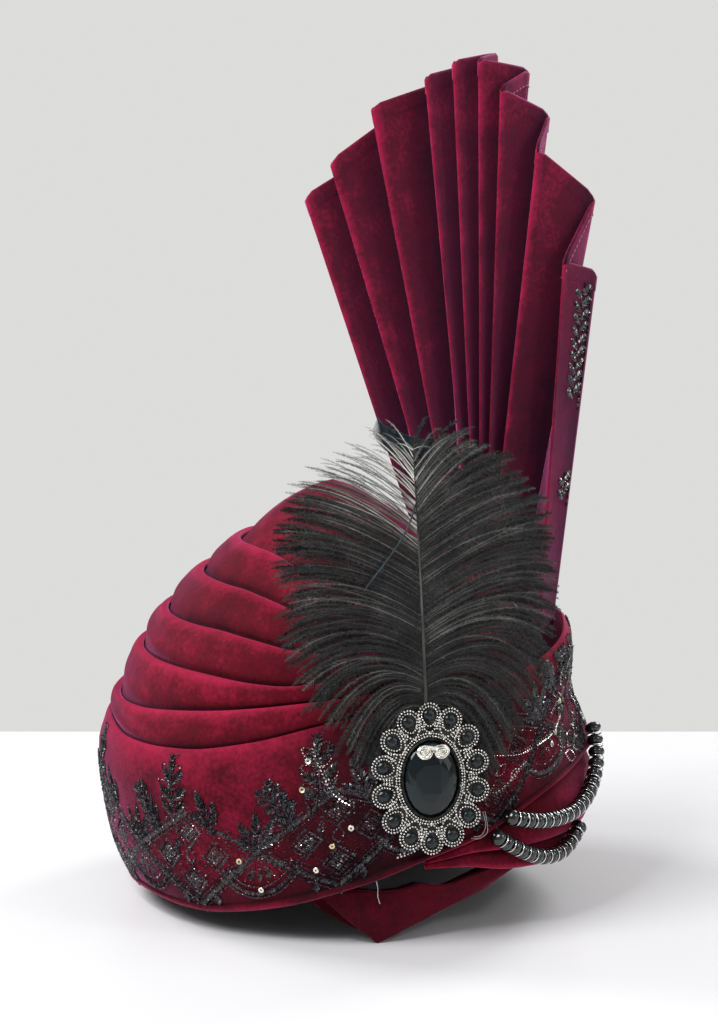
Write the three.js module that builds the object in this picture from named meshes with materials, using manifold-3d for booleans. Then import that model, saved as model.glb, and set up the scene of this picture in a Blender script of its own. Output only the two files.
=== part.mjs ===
// A tied turban pagri: a hollow padded cap wound with folded velvet, with an embroidered
// brow band, a pleated fan standing at the wearer's left, a plume behind a jewelled brooch and
// two strings of beads. Millimetres, +Z up, front towards -Y, wearer's left towards +X.
// It stands on a surface on the back of its rim and on the tucked end under its brow.
import * as THREE from 'three';
import { mergeVertices } from 'three/addons/utils/BufferGeometryUtils.js';
import Module from 'manifold-3d';

const wasm = await Module();
wasm.setup();

// Driving sizes of the wound head part
const CROWN_TOP = 234; // height of the crest above the surface it stands on
const HALF_WIDTH = 137; // head part, middle to side, at its widest
const FRONT_REACH = 141; // middle to brow
const BACK_REACH = 150; // middle to nape
const CREST_LEAN = 8; // the crest sits this far to the wearer's right
const HOLLOW_WIDTH = 170; // head hollow, side to side
const HOLLOW_FRONT = 102; // middle to the forehead
const HOLLOW_BACK = 106; // middle to the back of the head
const HOLLOW_TOP = 165; // inside of the crown above the surface it stands on
const HOLLOW_FULLNESS = 2.4; // 2 is a plain ellipse, more is squarer
const PLY = 2; // folded velvet
const LAYER_GAP = 0.5; // air between two layers of cloth
const LIP = 0.6; // how far a fold swells past the winding's mean surface
const TUCK = 9; // depth of cloth hidden under the next fold
const COLLAR_FLARE = 25; // how far the band stands off the crest where it holds the fan

// Driving sizes of the fan
const FAN_HEIGHT = 320; // foot level to highest pleat
const FAN_FOOT = 150; // level of the lowest corner of its foot
const FAN_SPREAD = 162; // leftmost to rightmost corner of the top edge
const FAN_LEFT = -22.4; // leftmost corner of the top edge, measured across from the head's axis
const FAN_TURN = 18; // degrees the fan is turned towards the wearer's right
const FAN_PINCH = 39; // height above the foot level at which the pleats are pinched together
const FAN_WALL = 1; // single velvet, stiffened
const PLEAT_DEPTH_TOP = 24;
const PLEAT_DEPTH_FOOT = 16;
const PLEAT_CREASE = 1.2; // width of a pleat's creased edge
const SEAT_GAP = 0.9; // clearance of what stands on a curved, faceted surface

// Driving sizes of the tucked end under the brow
const FLAP_FOOT = 0.85; // its foot's distance from the axis, as a share of the brow's
const FLAP_TOP = 0.885; // the same for its upper edge
const FLAP_OPEN = 18; // gap between its two layers at its open end

// Driving sizes of the plume and the small feather beside it
const PLUME_HEIGHT = 173; // foot of the quill to the highest lock
const PLUME_REACH = 77; // quill to the widest lock
const PLUME_WRAP = 14; // how far the widest locks bend back round the head
const PLUME_TURN = 4; // degrees it is turned towards the wearer's right
const PLUME_LEAN = 20; // how far its top leans back
const PLUME_SWAY = 4; // how far its top bends to the wearer's right
const QUILL = 1.3; // radius at the foot
const LOCK_WIDTH = 21;
const LOCK_THICK = 1.6;
const FEATHER_CLEAR = 0.5; // between the small feather and the plume

// Driving sizes of the brooch
const STONE_WIDTH = 30;
const STONE_HEIGHT = 40;
const STONE_RISE = 5; // bottom to table
const BROOCH_LEVEL = 93; // height of its middle above the surface
const BROOCH_TILT = 4; // degrees its top leans back
const PETALS = 14;
const PETAL = 6.6; // radius of one round petal
const PETAL_RING_WIDTH = 53; // oval through the petals' middles
const PETAL_RING_HEIGHT = 67;
const PLATE = 1.6;
const GEM = 3.1; // radius of a petal's stone
const STONE_GAP = 0.3;
const BEZEL = 1.3;

// Driving sizes of the bead strings
const BEAD = 4.6; // radius
const BEAD_PITCH = 6.8;
const BEAD_SIDES = 8;
const BEAD_SEAT = 0.6; // between a bead and the cloth it lies on

const STEP = 12; // degrees between the stations of every wound layer
const END_GAP = 0.4; // degrees between the ends of the folds of the two sides
const RAD = Math.PI / 180;

// Meridian of the head part: height and half width as shares of the crest height and reach.
const MERIDIAN = [
  { height: 0.0, reach: 0.8 },
  { height: 0.06, reach: 0.89 },
  { height: 0.15, reach: 0.955 },
  { height: 0.25, reach: 0.985 },
  { height: 0.355, reach: 1.0 },
  { height: 0.44, reach: 0.965 },
  { height: 0.526, reach: 0.89 },
  { height: 0.62, reach: 0.805 },
  { height: 0.701, reach: 0.7 },
  { height: 0.786, reach: 0.553 },
  { height: 0.87, reach: 0.38 },
  { height: 0.94, reach: 0.22 },
  { height: 0.98, reach: 0.1 },
  { height: 1.0, reach: 0.0 },
];
const MERIDIAN_SAMPLES = 160;
const meridian = new THREE.SplineCurve(MERIDIAN.map((row) => new THREE.Vector2(row.height, row.reach)))
  .getPoints(MERIDIAN_SAMPLES);

// Edges of the windings round the head: degrees from the brow, positive towards the wearer's
// left, and heights as shares of the crest height.
const CAP_RIM = [
  { at: -180, height: 0 }, { at: -115, height: 0 }, { at: -100, height: 0.04 }, { at: -82, height: 0.06 },
  { at: -67, height: 0.055 }, { at: -53, height: 0.064 }, { at: -39, height: 0.09 }, { at: -28, height: 0.117 },
  { at: -19, height: 0.15 }, { at: -10, height: 0.18 }, { at: 1, height: 0.222 }, { at: 11, height: 0.2 },
  { at: 20, height: 0.18 }, { at: 37, height: 0.16 }, { at: 60, height: 0.15 }, { at: 90, height: 0.115 },
  { at: 105, height: 0.06 }, { at: 120, height: 0 }, { at: 180, height: 0 },
];
const BAND_EDGES = [
  { at: -180, hem: 0.026, top: 0.455, flare: 0 },
  { at: -140, hem: 0.03, top: 0.455, flare: 0 },
  { at: -100, hem: 0.042, top: 0.448, flare: 0 },
  { at: -82, hem: 0.05, top: 0.428, flare: 0 },
  { at: -67, hem: 0.043, top: 0.429, flare: 0 },
  { at: -53, hem: 0.051, top: 0.44, flare: 0 },
  { at: -39, hem: 0.076, top: 0.468, flare: 0 },
  { at: -28, hem: 0.103, top: 0.498, flare: 0 },
  { at: -19, hem: 0.135, top: 0.52, flare: 0 },
  { at: -10, hem: 0.165, top: 0.535, flare: 0 },
  { at: 1, hem: 0.21, top: 0.55, flare: 0 },
  { at: 13, hem: 0.244, top: 0.567, flare: 0.05 },
  { at: 24, hem: 0.294, top: 0.585, flare: 0.2 },
  { at: 35, hem: 0.334, top: 0.605, flare: 0.5 },
  { at: 55, hem: 0.37, top: 0.65, flare: 0.9 },
  { at: 72, hem: 0.368, top: 0.678, flare: 1 },
  { at: 90, hem: 0.34, top: 0.667, flare: 1 },
  { at: 110, hem: 0.26, top: 0.625, flare: 0.75 },
  { at: 130, hem: 0.17, top: 0.56, flare: 0.35 },
  { at: 150, hem: 0.09, top: 0.5, flare: 0.1 },
  { at: 180, hem: 0.026, top: 0.455, flare: 0 },
];
const PLEAT_EDGES = [
  { at: -170, folds: [0.512, 0.625, 0.71, 0.795, 0.868] },
  { at: -95, folds: [0.492, 0.606, 0.695, 0.785, 0.863] },
  { at: -77, folds: [0.5, 0.603, 0.694, 0.783, 0.862] },
  { at: -57, folds: [0.519, 0.599, 0.691, 0.777, 0.855] },
  { at: -43, folds: [0.535, 0.59, 0.678, 0.761, 0.84] },
  { at: -32, folds: [0.55, 0.587, 0.663, 0.74, 0.815] },
  { at: -20, folds: [0.564, 0.604, 0.656, 0.71, 0.775] },
  { at: 0, folds: [0.588, 0.626, 0.664, 0.702, 0.742] },
];
const LEFT_FOLD_EDGES = [
  { at: 0, folds: [0.66, 0.742] },
  { at: 30, folds: [0.68, 0.76] },
  { at: 60, folds: [0.725, 0.79] },
  { at: 90, folds: [0.745, 0.82] },
  { at: 120, folds: [0.725, 0.845] },
  { at: 150, folds: [0.68, 0.86] },
  { at: 192, folds: [0.66, 0.868] },
];
const WRAP_EDGES = [
  { at: 0, upper: 0.196, lower: 0.186 },
  { at: 11, upper: 0.214, lower: 0.18 },
  { at: 20, upper: 0.206, lower: 0.157 },
  { at: 37, upper: 0.2, lower: 0.141 },
  { at: 60, upper: 0.195, lower: 0.135 },
  { at: 90, upper: 0.17, lower: 0.1 },
  { at: 120, upper: 0.1, lower: 0.045 },
  { at: 160, upper: 0.05, lower: 0.022 },
];

// Reads a column of an edge table at an angle, wrapping round the head.
function edge(table, at, column) {
  let angle = at > table[table.length - 1].at ? at - 360 : at;
  angle = angle < table[0].at ? angle + 360 : angle;
  const next = Math.max(1, table.findIndex((row) => row.at >= angle));
  const a = table[next - 1];
  const b = table[next];
  const share = THREE.MathUtils.clamp((angle - a.at) / (b.at - a.at), 0, 1);
  const read = (row) => (typeof column === 'number' ? row.folds[column] : row[column]);
  return THREE.MathUtils.lerp(read(a), read(b), share) * (column === 'flare' ? 1 : CROWN_TOP);
}

// Mean surface of the winding at an angle and height, moved out by an offset: square to the
// surface above the widest level, and level with the floor below it.
function surface(at, height, offset) {
  const share = THREE.MathUtils.clamp(height / CROWN_TOP, 0, 1);
  const next = Math.max(1, meridian.findIndex((point) => point.x >= share));
  const a = meridian[next - 1];
  const b = meridian[next];
  const reach = THREE.MathUtils.mapLinear(share, a.x, b.x, a.y, b.y);
  const angle = at * RAD;
  const side = Math.sin(angle) / HALF_WIDTH;
  const ahead = Math.cos(angle) / (Math.cos(angle) > 0 ? FRONT_REACH : BACK_REACH);
  const radius = 1 / Math.hypot(side, ahead);
  const slope = Math.min(0, ((b.y - a.y) * radius) / ((b.x - a.x) * CROWN_TOP));
  const square = Math.hypot(1, slope);
  const out = reach < 0.001 ? 0 : reach * radius + offset / square;
  const lift = reach < 0.001 ? offset : (-slope * offset) / square;
  return new THREE.Vector3(
    out * Math.sin(angle) - CREST_LEAN * share * share,
    -out * Math.cos(angle),
    share * CROWN_TOP + lift,
  );
}

// A closed mesh through a row of sections. Each section is a strip of cloth cut across: its
// outer points and, facing them, its inner points.
function cloth(sections, ring) {
  const count = sections[0].outer.length;
  const loops = sections.map(({ outer, inner }) => [...outer, ...[...inner].reverse()]);
  const size = loops[0].length;
  const index = [];
  const quad = (a, b, c, d) => index.push(a, b, c, a, c, d);
  const spans = ring ? loops.length : loops.length - 1;
  for (let j = 0; j < spans; j += 1) {
    const here = j * size;
    const there = ((j + 1) % loops.length) * size;
    for (let k = 0; k < size; k += 1) {
      const after = (k + 1) % size;
      quad(here + k, here + after, there + after, there + k);
    }
  }
  if (!ring) {
    const last = (loops.length - 1) * size;
    for (let k = 0; k < count - 1; k += 1) {
      quad(k, size - 1 - k, size - 2 - k, k + 1);
      quad(last + k, last + k + 1, last + size - 2 - k, last + size - 1 - k);
    }
  }
  return outward(loops.flat(), index);
}

// Merges equal points, drops empty triangles and turns the faces outwards.
function outward(points, index) {
  const raw = new THREE.BufferGeometry().setFromPoints(points);
  raw.setIndex(index);
  const merged = mergeVertices(raw, 1e-4);
  const at = merged.attributes.position;
  const from = merged.index.array;
  const corner = (i) => new THREE.Vector3().fromBufferAttribute(at, i);
  const kept = [];
  let volume = 0;
  for (let i = 0; i < from.length; i += 3) {
    const [a, b, c] = [from[i], from[i + 1], from[i + 2]];
    if (a !== b && b !== c && c !== a) {
      kept.push(a, b, c);
      volume += corner(a).dot(corner(b).cross(corner(c)));
    }
  }
  if (volume < 0) {
    kept.reverse();
  }
  merged.setIndex(kept);
  return merged;
}

// Turns a closed mesh into a solid that can be joined and cut.
function solid(geometry) {
  const bare = geometry.clone();
  bare.deleteAttribute('normal');
  bare.deleteAttribute('uv');
  const merged = mergeVertices(bare, 1e-4);
  return new wasm.Manifold(new wasm.Mesh({
    numProp: 3,
    vertProperties: new Float32Array(merged.attributes.position.array),
    triVerts: new Uint32Array(merged.index.array),
  }));
}

function geometryOf(body) {
  const mesh = body.getMesh();
  const geometry = new THREE.BufferGeometry();
  geometry.setAttribute('position', new THREE.BufferAttribute(new Float32Array(mesh.vertProperties), 3));
  geometry.setIndex(new THREE.BufferAttribute(new Uint32Array(mesh.triVerts), 1));
  return geometry;
}

const MATERIALS = {
  velvet: { color: 0x5c0a22, roughness: 0.85, metalness: 0 },
  lining: { color: 0x241014, roughness: 0.9, metalness: 0 },
  embroidered: { color: 0x2a0812, roughness: 0.7, metalness: 0 },
  feather: { color: 0x1c1d1c, roughness: 0.8, metalness: 0 },
  blue_feather: { color: 0x0f1a22, roughness: 0.6, metalness: 0 },
  gunmetal: { color: 0x6a6a68, roughness: 0.35, metalness: 1 },
  jet: { color: 0x07090a, roughness: 0.05, metalness: 0 },
  pale_gold: { color: 0xcfc6a4, roughness: 0.4, metalness: 1 },
  hematite: { color: 0x1a1c1d, roughness: 0.12, metalness: 1 },
};

function piece(name, geometry, look) {
  const mesh = new THREE.Mesh(geometry, new THREE.MeshStandardMaterial(MATERIALS[look]));
  mesh.name = name;
  return mesh;
}

function angles(from, to) {
  return Array.from({ length: Math.round((to - from) / STEP) + 1 }, (_, i) => from + i * STEP);
}

// How far the layers lie under the winding's mean surface
const OVER = PLY + LAYER_GAP; // inner face of cloth that lies over a tucked edge
const CAP_DEPTH = 2 * OVER + LAYER_GAP; // outer face of the cap
const UNDER = CAP_DEPTH - LAYER_GAP; // inner face of a tucked edge
const WHOLE_RING = angles(-180, 180 - STEP);

// Padded cap: a hollow dome, open below, whose rim is flat where it stands at the back. The
// hollow fits a head and its wall is as thick as the wound padding.
function paddedCap() {
  const rows = [0, 0.15, 0.35, 0.52, 0.67, 0.8, 0.9, 0.97, 1];
  const sections = WHOLE_RING.map((at) => {
    const rim = edge(CAP_RIM, at, 'height');
    const outer = rows.map((row) => surface(at, THREE.MathUtils.lerp(rim, CROWN_TOP, row), -CAP_DEPTH));
    const angle = at * RAD;
    const length = Math.cos(angle) > 0 ? HOLLOW_FRONT : HOLLOW_BACK;
    const radius = 1 / Math.hypot(Math.sin(angle) / (HOLLOW_WIDTH / 2), Math.cos(angle) / length);
    const inner = rows.map((row) => {
      const share = (1 - row ** HOLLOW_FULLNESS) ** (1 / HOLLOW_FULLNESS);
      const z = THREE.MathUtils.lerp(rim, HOLLOW_TOP, row);
      return new THREE.Vector3(share * radius * Math.sin(angle), -share * radius * Math.cos(angle), z);
    });
    return { outer, inner };
  });
  return cloth(sections, true);
}

// Smooth sheet over the crest, its edge tucked all round under the highest folds.
function crestSheet() {
  const rows = [
    { share: 0.03, outer: -UNDER + PLY }, { share: 0.3, outer: -LIP }, { share: 0.58, outer: 0 },
    { share: 0.8, outer: 0 }, { share: 0.94, outer: 0 }, { share: 1, outer: 0 },
  ];
  const sections = WHOLE_RING.map((at) => {
    const right = at > -180 && at <= 0;
    const [table, highest] = right ? [PLEAT_EDGES, 4] : [LEFT_FOLD_EDGES, 1];
    const top = edge(table, at, highest);
    const start = top - tuckDepth(top - edge(table, at, highest - 1));
    const line = (ply) => [
      surface(at, start, -UNDER + PLY - ply),
      ...rows.map(({ share, outer }) => surface(at, THREE.MathUtils.lerp(top, CROWN_TOP, share), outer - ply)),
    ];
    return { outer: line(0), inner: line(PLY) };
  });
  return cloth(sections, true);
}

// Cloth is tucked less deep where the folds run together.
function tuckDepth(spacing) {
  return Math.min(TUCK, 0.45 * Math.abs(spacing));
}

// One folded wrap: tucked under its neighbour's edge at one side and ending in a free rounded
// fold at the other, which lies over the next wrap. Works upwards and downwards.
function foldedWrap(stations, lines) {
  const sections = stations.map((at) => {
    const { free, cover, beyond } = lines(at);
    const height = free - cover;
    const way = Math.sign(height);
    const hidden = cover - way * tuckDepth(cover - beyond);
    const last = tuckDepth(height) / Math.abs(height);
    const rows = [
      { z: hidden, outer: -UNDER + PLY, inner: -UNDER },
      { z: cover + 0.03 * height, outer: -UNDER + PLY, inner: -UNDER },
      { z: cover + 0.3 * height, outer: -0.9, inner: -OVER },
      { z: cover + (1 - last) * height, outer: LIP, inner: -PLY },
      { z: cover + (1 - 0.3 * last) * height, outer: LIP, inner: -OVER },
      { z: free, outer: -LIP, inner: -OVER },
    ];
    return {
      outer: rows.map((row) => surface(at, row.z, row.outer)),
      inner: rows.map((row) => surface(at, row.z, row.inner)),
    };
  });
  return cloth(sections, false);
}

// The winding's surface with the stand-off that the band takes where it climbs into the collar.
function bandSurface(at, height, offset) {
  const hem = edge(BAND_EDGES, at, 'hem');
  const top = edge(BAND_EDGES, at, 'top');
  const share = THREE.MathUtils.smoothstep((height - hem) / (top - hem), 0.3, 1.1);
  const stand = edge(BAND_EDGES, at, 'flare') * COLLAR_FLARE * share;
  const outwards = new THREE.Vector3(Math.sin(at * RAD), -Math.cos(at * RAD), 0);
  return surface(at, height, offset).addScaledVector(outwards, stand);
}

// Embroidered brow band: a ring of cloth with a rolled hem, whose upper edge climbs at the
// wearer's left into a collar that stands off the crest and holds the fan's foot.
function browBand() {
  const rows = [
    { share: 0, outer: -1.2, inner: -OVER }, { share: 0.05, outer: 0.8, inner: -OVER },
    { share: 0.12, outer: 0.1, inner: -OVER }, { share: 0.4, outer: LIP, inner: -PLY },
    { share: 0.66, outer: LIP, inner: -PLY }, { share: 0.86, outer: LIP, inner: -OVER },
    { share: 1, outer: -LIP, inner: -OVER },
  ];
  const sections = WHOLE_RING.map((at) => {
    const hem = edge(BAND_EDGES, at, 'hem');
    const top = edge(BAND_EDGES, at, 'top');
    const point = ({ share }, offset) => bandSurface(at, THREE.MathUtils.lerp(hem, top, share), offset);
    return {
      outer: rows.map((row) => point(row, row.outer)),
      inner: rows.map((row) => point(row, row.inner)),
    };
  });
  return cloth(sections, true);
}

// Tucked end: a length of velvet folded lengthwise that hangs as a sling from the underside of
// the cap's rim, open at the wearer's right. Degrees from the brow; drops below the rim and
// heights of the foot as shares of the crest height; open as a share of the open end's gap.
const SLING = [
  { topAt: -25, drop: 0, footAt: -10.5, foot: 0, backAt: -32, backDrop: 0, open: 1 },
  { topAt: -14, drop: 0.034, footAt: -7, foot: 0.011, backAt: -20, backDrop: 0.02, open: 0.9 },
  { topAt: -5, drop: 0.068, footAt: -1, foot: 0.034, backAt: -6, backDrop: 0.075, open: 0.7 },
  { topAt: 6, drop: 0.077, footAt: 6, foot: 0.058, backAt: 6, backDrop: 0.085, open: 0.5 },
  { topAt: 14, drop: 0.047, footAt: 14, foot: 0.081, backAt: 14, backDrop: 0.052, open: 0.4 },
  { topAt: 23, drop: 0.014, footAt: 22, foot: 0.099, backAt: 22, backDrop: 0.016, open: 0.35 },
  { topAt: 30, drop: 0, footAt: 29, foot: 0.125, backAt: 29, backDrop: 0, open: 0.3 },
];

function tuckedEnd() {
  const around = (at, radius, z) => new THREE.Vector3(
    radius * Math.sin(at * RAD), -radius * Math.cos(at * RAD), z);
  const hung = (at, drop) => edge(CAP_RIM, at, 'height') - SEAT_GAP - drop * CROWN_TOP;
  const sections = SLING.map((row) => {
    const open = FLAP_OPEN * row.open;
    const top = FLAP_TOP * FRONT_REACH;
    const toe = FLAP_FOOT * FRONT_REACH;
    const heel = toe - Math.max(2.5 * PLY, 0.3 * open);
    const foot = row.foot * CROWN_TOP;
    const frontTop = hung(row.topAt, row.drop);
    const backTop = hung(row.backAt, row.backDrop);
    return {
      outer: [
        around(row.topAt, top, frontTop), around(row.footAt, toe, foot),
        around(row.footAt, heel, foot), around(row.backAt, top - open - PLY, backTop),
      ],
      inner: [
        around(row.topAt, top - PLY, frontTop), around(row.footAt, toe - PLY, foot + PLY),
        around(row.footAt, heel + 0.4 * PLY, foot + PLY), around(row.backAt, top - open, backTop),
      ],
    };
  });
  return cloth(sections, false);
}

// Fan: one stiffened accordion of velvet. Across positions are shares of the spread, heights of
// the fan's height above its foot; front creases face the viewer, back creases face away.
const PLEATS = [
  { crease: 'front', across: 0.0, height: 0.756, pinch: 0.406 },
  { crease: 'back', across: 0.169, height: 0.808, pinch: 0.446 },
  { crease: 'front', across: 0.085, height: 0.815, pinch: 0.489 },
  { crease: 'back', across: 0.282, height: 0.887, pinch: 0.509 },
  { crease: 'front', across: 0.223, height: 0.908, pinch: 0.523 },
  { crease: 'back', across: 0.446, height: 0.947, pinch: 0.549 },
  { crease: 'front', across: 0.405, height: 0.959, pinch: 0.566 },
  { crease: 'back', across: 0.547, height: 0.978, pinch: 0.583 },
  { crease: 'front', across: 0.497, height: 0.984, pinch: 0.585 },
  { crease: 'back', across: 0.656, height: 1.0, pinch: 0.601 },
  { crease: 'front', across: 0.583, height: 0.988, pinch: 0.602 },
  { crease: 'back', across: 0.766, height: 0.972, pinch: 0.619 },
  { crease: 'front', across: 0.657, height: 0.939, pinch: 0.62 },
  { crease: 'back', across: 0.834, height: 0.897, pinch: 0.638 },
  { crease: 'front', across: 0.783, height: 0.8375, pinch: 0.641 },
  { crease: 'back', across: 0.994, height: 0.754, pinch: 0.77 },
  { crease: 'front', across: 0.874, height: 0.644, pinch: 0.819 },
  { crease: 'back', across: 1.0, height: 0.624, pinch: 0.885 },
];

// Height at which a plumb line at a place meets the crest sheet.
function crestHeight(x, y) {
  let low = 0;
  let high = CROWN_TOP;
  for (let i = 0; i < 30; i += 1) {
    const level = (low + high) / 2;
    const lean = CREST_LEAN * (level / CROWN_TOP) ** 2;
    const at = Math.atan2(x + lean, -y) / RAD;
    const on = surface(at, level, 0);
    if (Math.hypot(on.x + lean, on.y) > Math.hypot(x + lean, y)) {
      low = level;
    } else {
      high = level;
    }
  }
  return low;
}

function fanPlace(across, depth, z) {
  const turn = FAN_TURN * RAD;
  return new THREE.Vector3(
    across * Math.cos(turn) + depth * Math.sin(turn),
    -across * Math.sin(turn) + depth * Math.cos(turn),
    z,
  );
}

// Lowest level of a crease: on the crest, or at the foot level where the collar holds it.
function creaseFoot(row, depth) {
  const pinchLevel = FAN_FOOT + FAN_PINCH;
  const topLevel = FAN_FOOT + row.height * FAN_HEIGHT;
  const acrossAt = (z) => FAN_LEFT + FAN_SPREAD * THREE.MathUtils.mapLinear(
    z, pinchLevel, topLevel, row.pinch, row.across);
  let level = pinchLevel;
  for (let i = 0; i < 12; i += 1) {
    const spot = fanPlace(acrossAt(level), depth, 0);
    const rest = Math.max(FAN_FOOT, crestHeight(spot.x, spot.y) + 2 * SEAT_GAP);
    level = (level + rest) / 2;
  }
  return { level, across: acrossAt(level) };
}

function pleatedFan() {
  const levels = [0, 0.35, 0.7, 1];
  const creases = PLEATS.map((row) => {
    const side = row.crease === 'front' ? -0.5 : 0.5;
    const foot = creaseFoot(row, side * PLEAT_DEPTH_FOOT);
    return { row, side, foot };
  });
  const sections = [];
  const lines = levels.map((level) => {
    return creases.flatMap(({ row, side, foot }) => {
      const across = THREE.MathUtils.lerp(foot.across, FAN_LEFT + FAN_SPREAD * row.across, level);
      const depth = side * THREE.MathUtils.lerp(PLEAT_DEPTH_FOOT, PLEAT_DEPTH_TOP, level);
      const z = THREE.MathUtils.lerp(foot.level, FAN_FOOT + FAN_HEIGHT * row.height, level);
      return [-0.5, 0.5].map((half) => ({ across: across + half * PLEAT_CREASE, depth, z }));
    });
  });
  for (let i = 0; i < lines[0].length; i += 1) {
    const outer = [];
    const inner = [];
    lines.forEach((line) => {
      const here = line[i];
      const before = line[Math.max(0, i - 1)];
      const after = line[Math.min(line.length - 1, i + 1)];
      const first = new THREE.Vector2(here.across - before.across, here.depth - before.depth);
      const second = new THREE.Vector2(after.across - here.across, after.depth - here.depth);
      const a = (i === 0 ? second.clone() : first).normalize();
      const b = (i === line.length - 1 ? first.clone() : second).normalize();
      const normal = new THREE.Vector2(a.y + b.y, -a.x - b.x);
      const miter = FAN_WALL / (1 + a.dot(b));
      const move = normal.multiplyScalar(miter / 2);
      outer.push(fanPlace(here.across + move.x, here.depth + move.y, here.z));
      inner.push(fanPlace(here.across - move.x, here.depth - move.y, here.z));
    });
    sections.push({ outer, inner });
  }
  return cloth(sections, false);
}

// Plume: a quill, a narrow vane along it and locks that sweep up and out and droop at their
// tips. Roots and tips are shares of the plume's height; reach is a share of its widest reach.
const LOCKS = [
  { root: 0.17, reach: 0.55, tip: 0.02 },
  { root: 0.24, reach: 0.86, tip: 0.18 },
  { root: 0.34, reach: 0.99, tip: 0.37 },
  { root: 0.45, reach: 1.0, tip: 0.55 },
  { root: 0.57, reach: 0.95, tip: 0.72 },
  { root: 0.7, reach: 0.72, tip: 0.88 },
  { root: 0.82, reach: 0.3, tip: 0.99 },
];
const PLUME_FOOT_LEVEL = BROOCH_LEVEL + 11;
const quillSeat = surface(0, PLUME_FOOT_LEVEL, LIP).y - SEAT_GAP - QUILL;
const PLUME_FOOT = { x: 0, y: quillSeat, z: PLUME_FOOT_LEVEL };

function plumePlace(across, rise, forward) {
  const turn = PLUME_TURN * RAD;
  const wrap = PLUME_WRAP * (across / PLUME_REACH) ** 2;
  const share = rise / PLUME_HEIGHT;
  const sway = PLUME_SWAY * share * share;
  const back = PLUME_LEAN * share + wrap - forward;
  return new THREE.Vector3(
    PLUME_FOOT.x - sway + across * Math.cos(turn) + back * Math.sin(turn),
    PLUME_FOOT.y - across * Math.sin(turn) + back * Math.cos(turn),
    PLUME_FOOT.z + rise,
  );
}

function blade(stations) {
  const sections = stations.map(({ across, rise, sideAcross, sideRise, forward }) => {
    const corner = (way, face) => plumePlace(
      across + way * sideAcross, rise + way * sideRise, forward + face * LOCK_THICK * 0.5);
    return { outer: [corner(-1, 1), corner(1, 1)], inner: [corner(-1, -1), corner(1, -1)] };
  });
  return cloth(sections, false);
}

function lock(row, side, order) {
  const root = new THREE.Vector2(0, row.root * PLUME_HEIGHT);
  const tip = new THREE.Vector2(side * row.reach * PLUME_REACH, row.tip * PLUME_HEIGHT);
  const arch = Math.max(0.45 * Math.abs(tip.x), 0.75 * (tip.y - root.y));
  const bend = new THREE.Vector2(tip.x * 0.5, root.y + arch);
  const curve = new THREE.QuadraticBezierCurve(root, bend, tip);
  const layer = (order % 2 ? 0.45 : -0.45) * LOCK_THICK;
  const widths = [0.4, 1, 0.85, 0.16];
  return blade(widths.map((width, i) => {
    const t = i / (widths.length - 1);
    const at = curve.getPoint(t);
    const along = curve.getTangent(t);
    const half = (width * LOCK_WIDTH) / 2;
    return { across: at.x, rise: at.y, sideAcross: -along.y * half, sideRise: along.x * half, forward: layer };
  }));
}

function featherQuill(points, radius) {
  const path = new THREE.CatmullRomCurve3(points);
  const ring = new THREE.Shape().absarc(0, 0, radius, 0, 2 * Math.PI);
  const steps = 2 * (points.length - 1);
  return new THREE.ExtrudeGeometry(ring, { steps, curveSegments: 3, extrudePath: path, bevelEnabled: false });
}

// Small smooth feather stuck through the plume: its vane stands behind the plume's top and its
// bare quill comes out in front. Across and rise as shares of the plume's reach and height.
const SMALL_VANE = [
  { across: 0.04, rise: 0.78, half: 0.02, forward: -3.5 },
  { across: 0.07, rise: 0.84, half: 0.1, forward: -4 },
  { across: 0.06, rise: 0.89, half: 0.25, forward: -4.5 },
  { across: 0.04, rise: 0.94, half: 0.29, forward: -4.5 },
  { across: -0.16, rise: 0.985, half: 0.05, forward: -4.5 },
];
const SMALL_QUILL = [
  { across: 0.06, rise: 0.83, forward: -3.8 },
  { across: 0, rise: 0.76, forward: 0 },
  { across: -0.12, rise: 0.66, forward: 3.6 },
  { across: -0.39, rise: 0.51, forward: 3.6 },
];

function smallFeather(extra) {
  const vane = blade(SMALL_VANE.map((row) => ({
    across: row.across * PLUME_REACH,
    rise: row.rise * PLUME_HEIGHT,
    sideAcross: row.half * PLUME_REACH + extra,
    sideRise: 0.35 * row.half * PLUME_REACH,
    forward: row.forward,
  })));
  const quill = featherQuill(SMALL_QUILL.map((row) => plumePlace(
    row.across * PLUME_REACH, row.rise * PLUME_HEIGHT, row.forward)), 0.8 + extra);
  return solid(vane).add(solid(quill));
}

function plume() {
  const rises = [-0.02, 0.25, 0.5, 0.75, 0.9];
  const quill = featherQuill(rises.map((rise) => plumePlace(0, rise * PLUME_HEIGHT, 0)), QUILL);
  const spine = blade([0.12, 0.3, 0.6, 0.86].map((rise) => ({
    across: 0, rise: rise * PLUME_HEIGHT, sideAcross: 9, sideRise: 0, forward: 0,
  })));
  let body = solid(quill).add(solid(spine));
  LOCKS.forEach((row, i) => {
    body = body.add(solid(lock(row, -1, i)));
    body = body.add(solid(lock({ ...row, reach: 0.9 * row.reach }, 1, i)));
  });
  const cleared = body.subtract(smallFeather(FEATHER_CLEAR));
  const bodies = cleared.decompose();
  return bodies.reduce((a, b) => (a.volume() > b.volume() ? a : b));
}

// Brooch, modelled facing +Z with its middle at the origin and its back at z = 0.
function oval(width, height, bottom, top, sides) {
  const disc = new THREE.CylinderGeometry(0.5, 0.5, top - bottom, sides);
  disc.rotateX(Math.PI / 2);
  disc.scale(width, height, 1);
  disc.translate(0, 0, (top + bottom) / 2);
  return disc;
}

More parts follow.
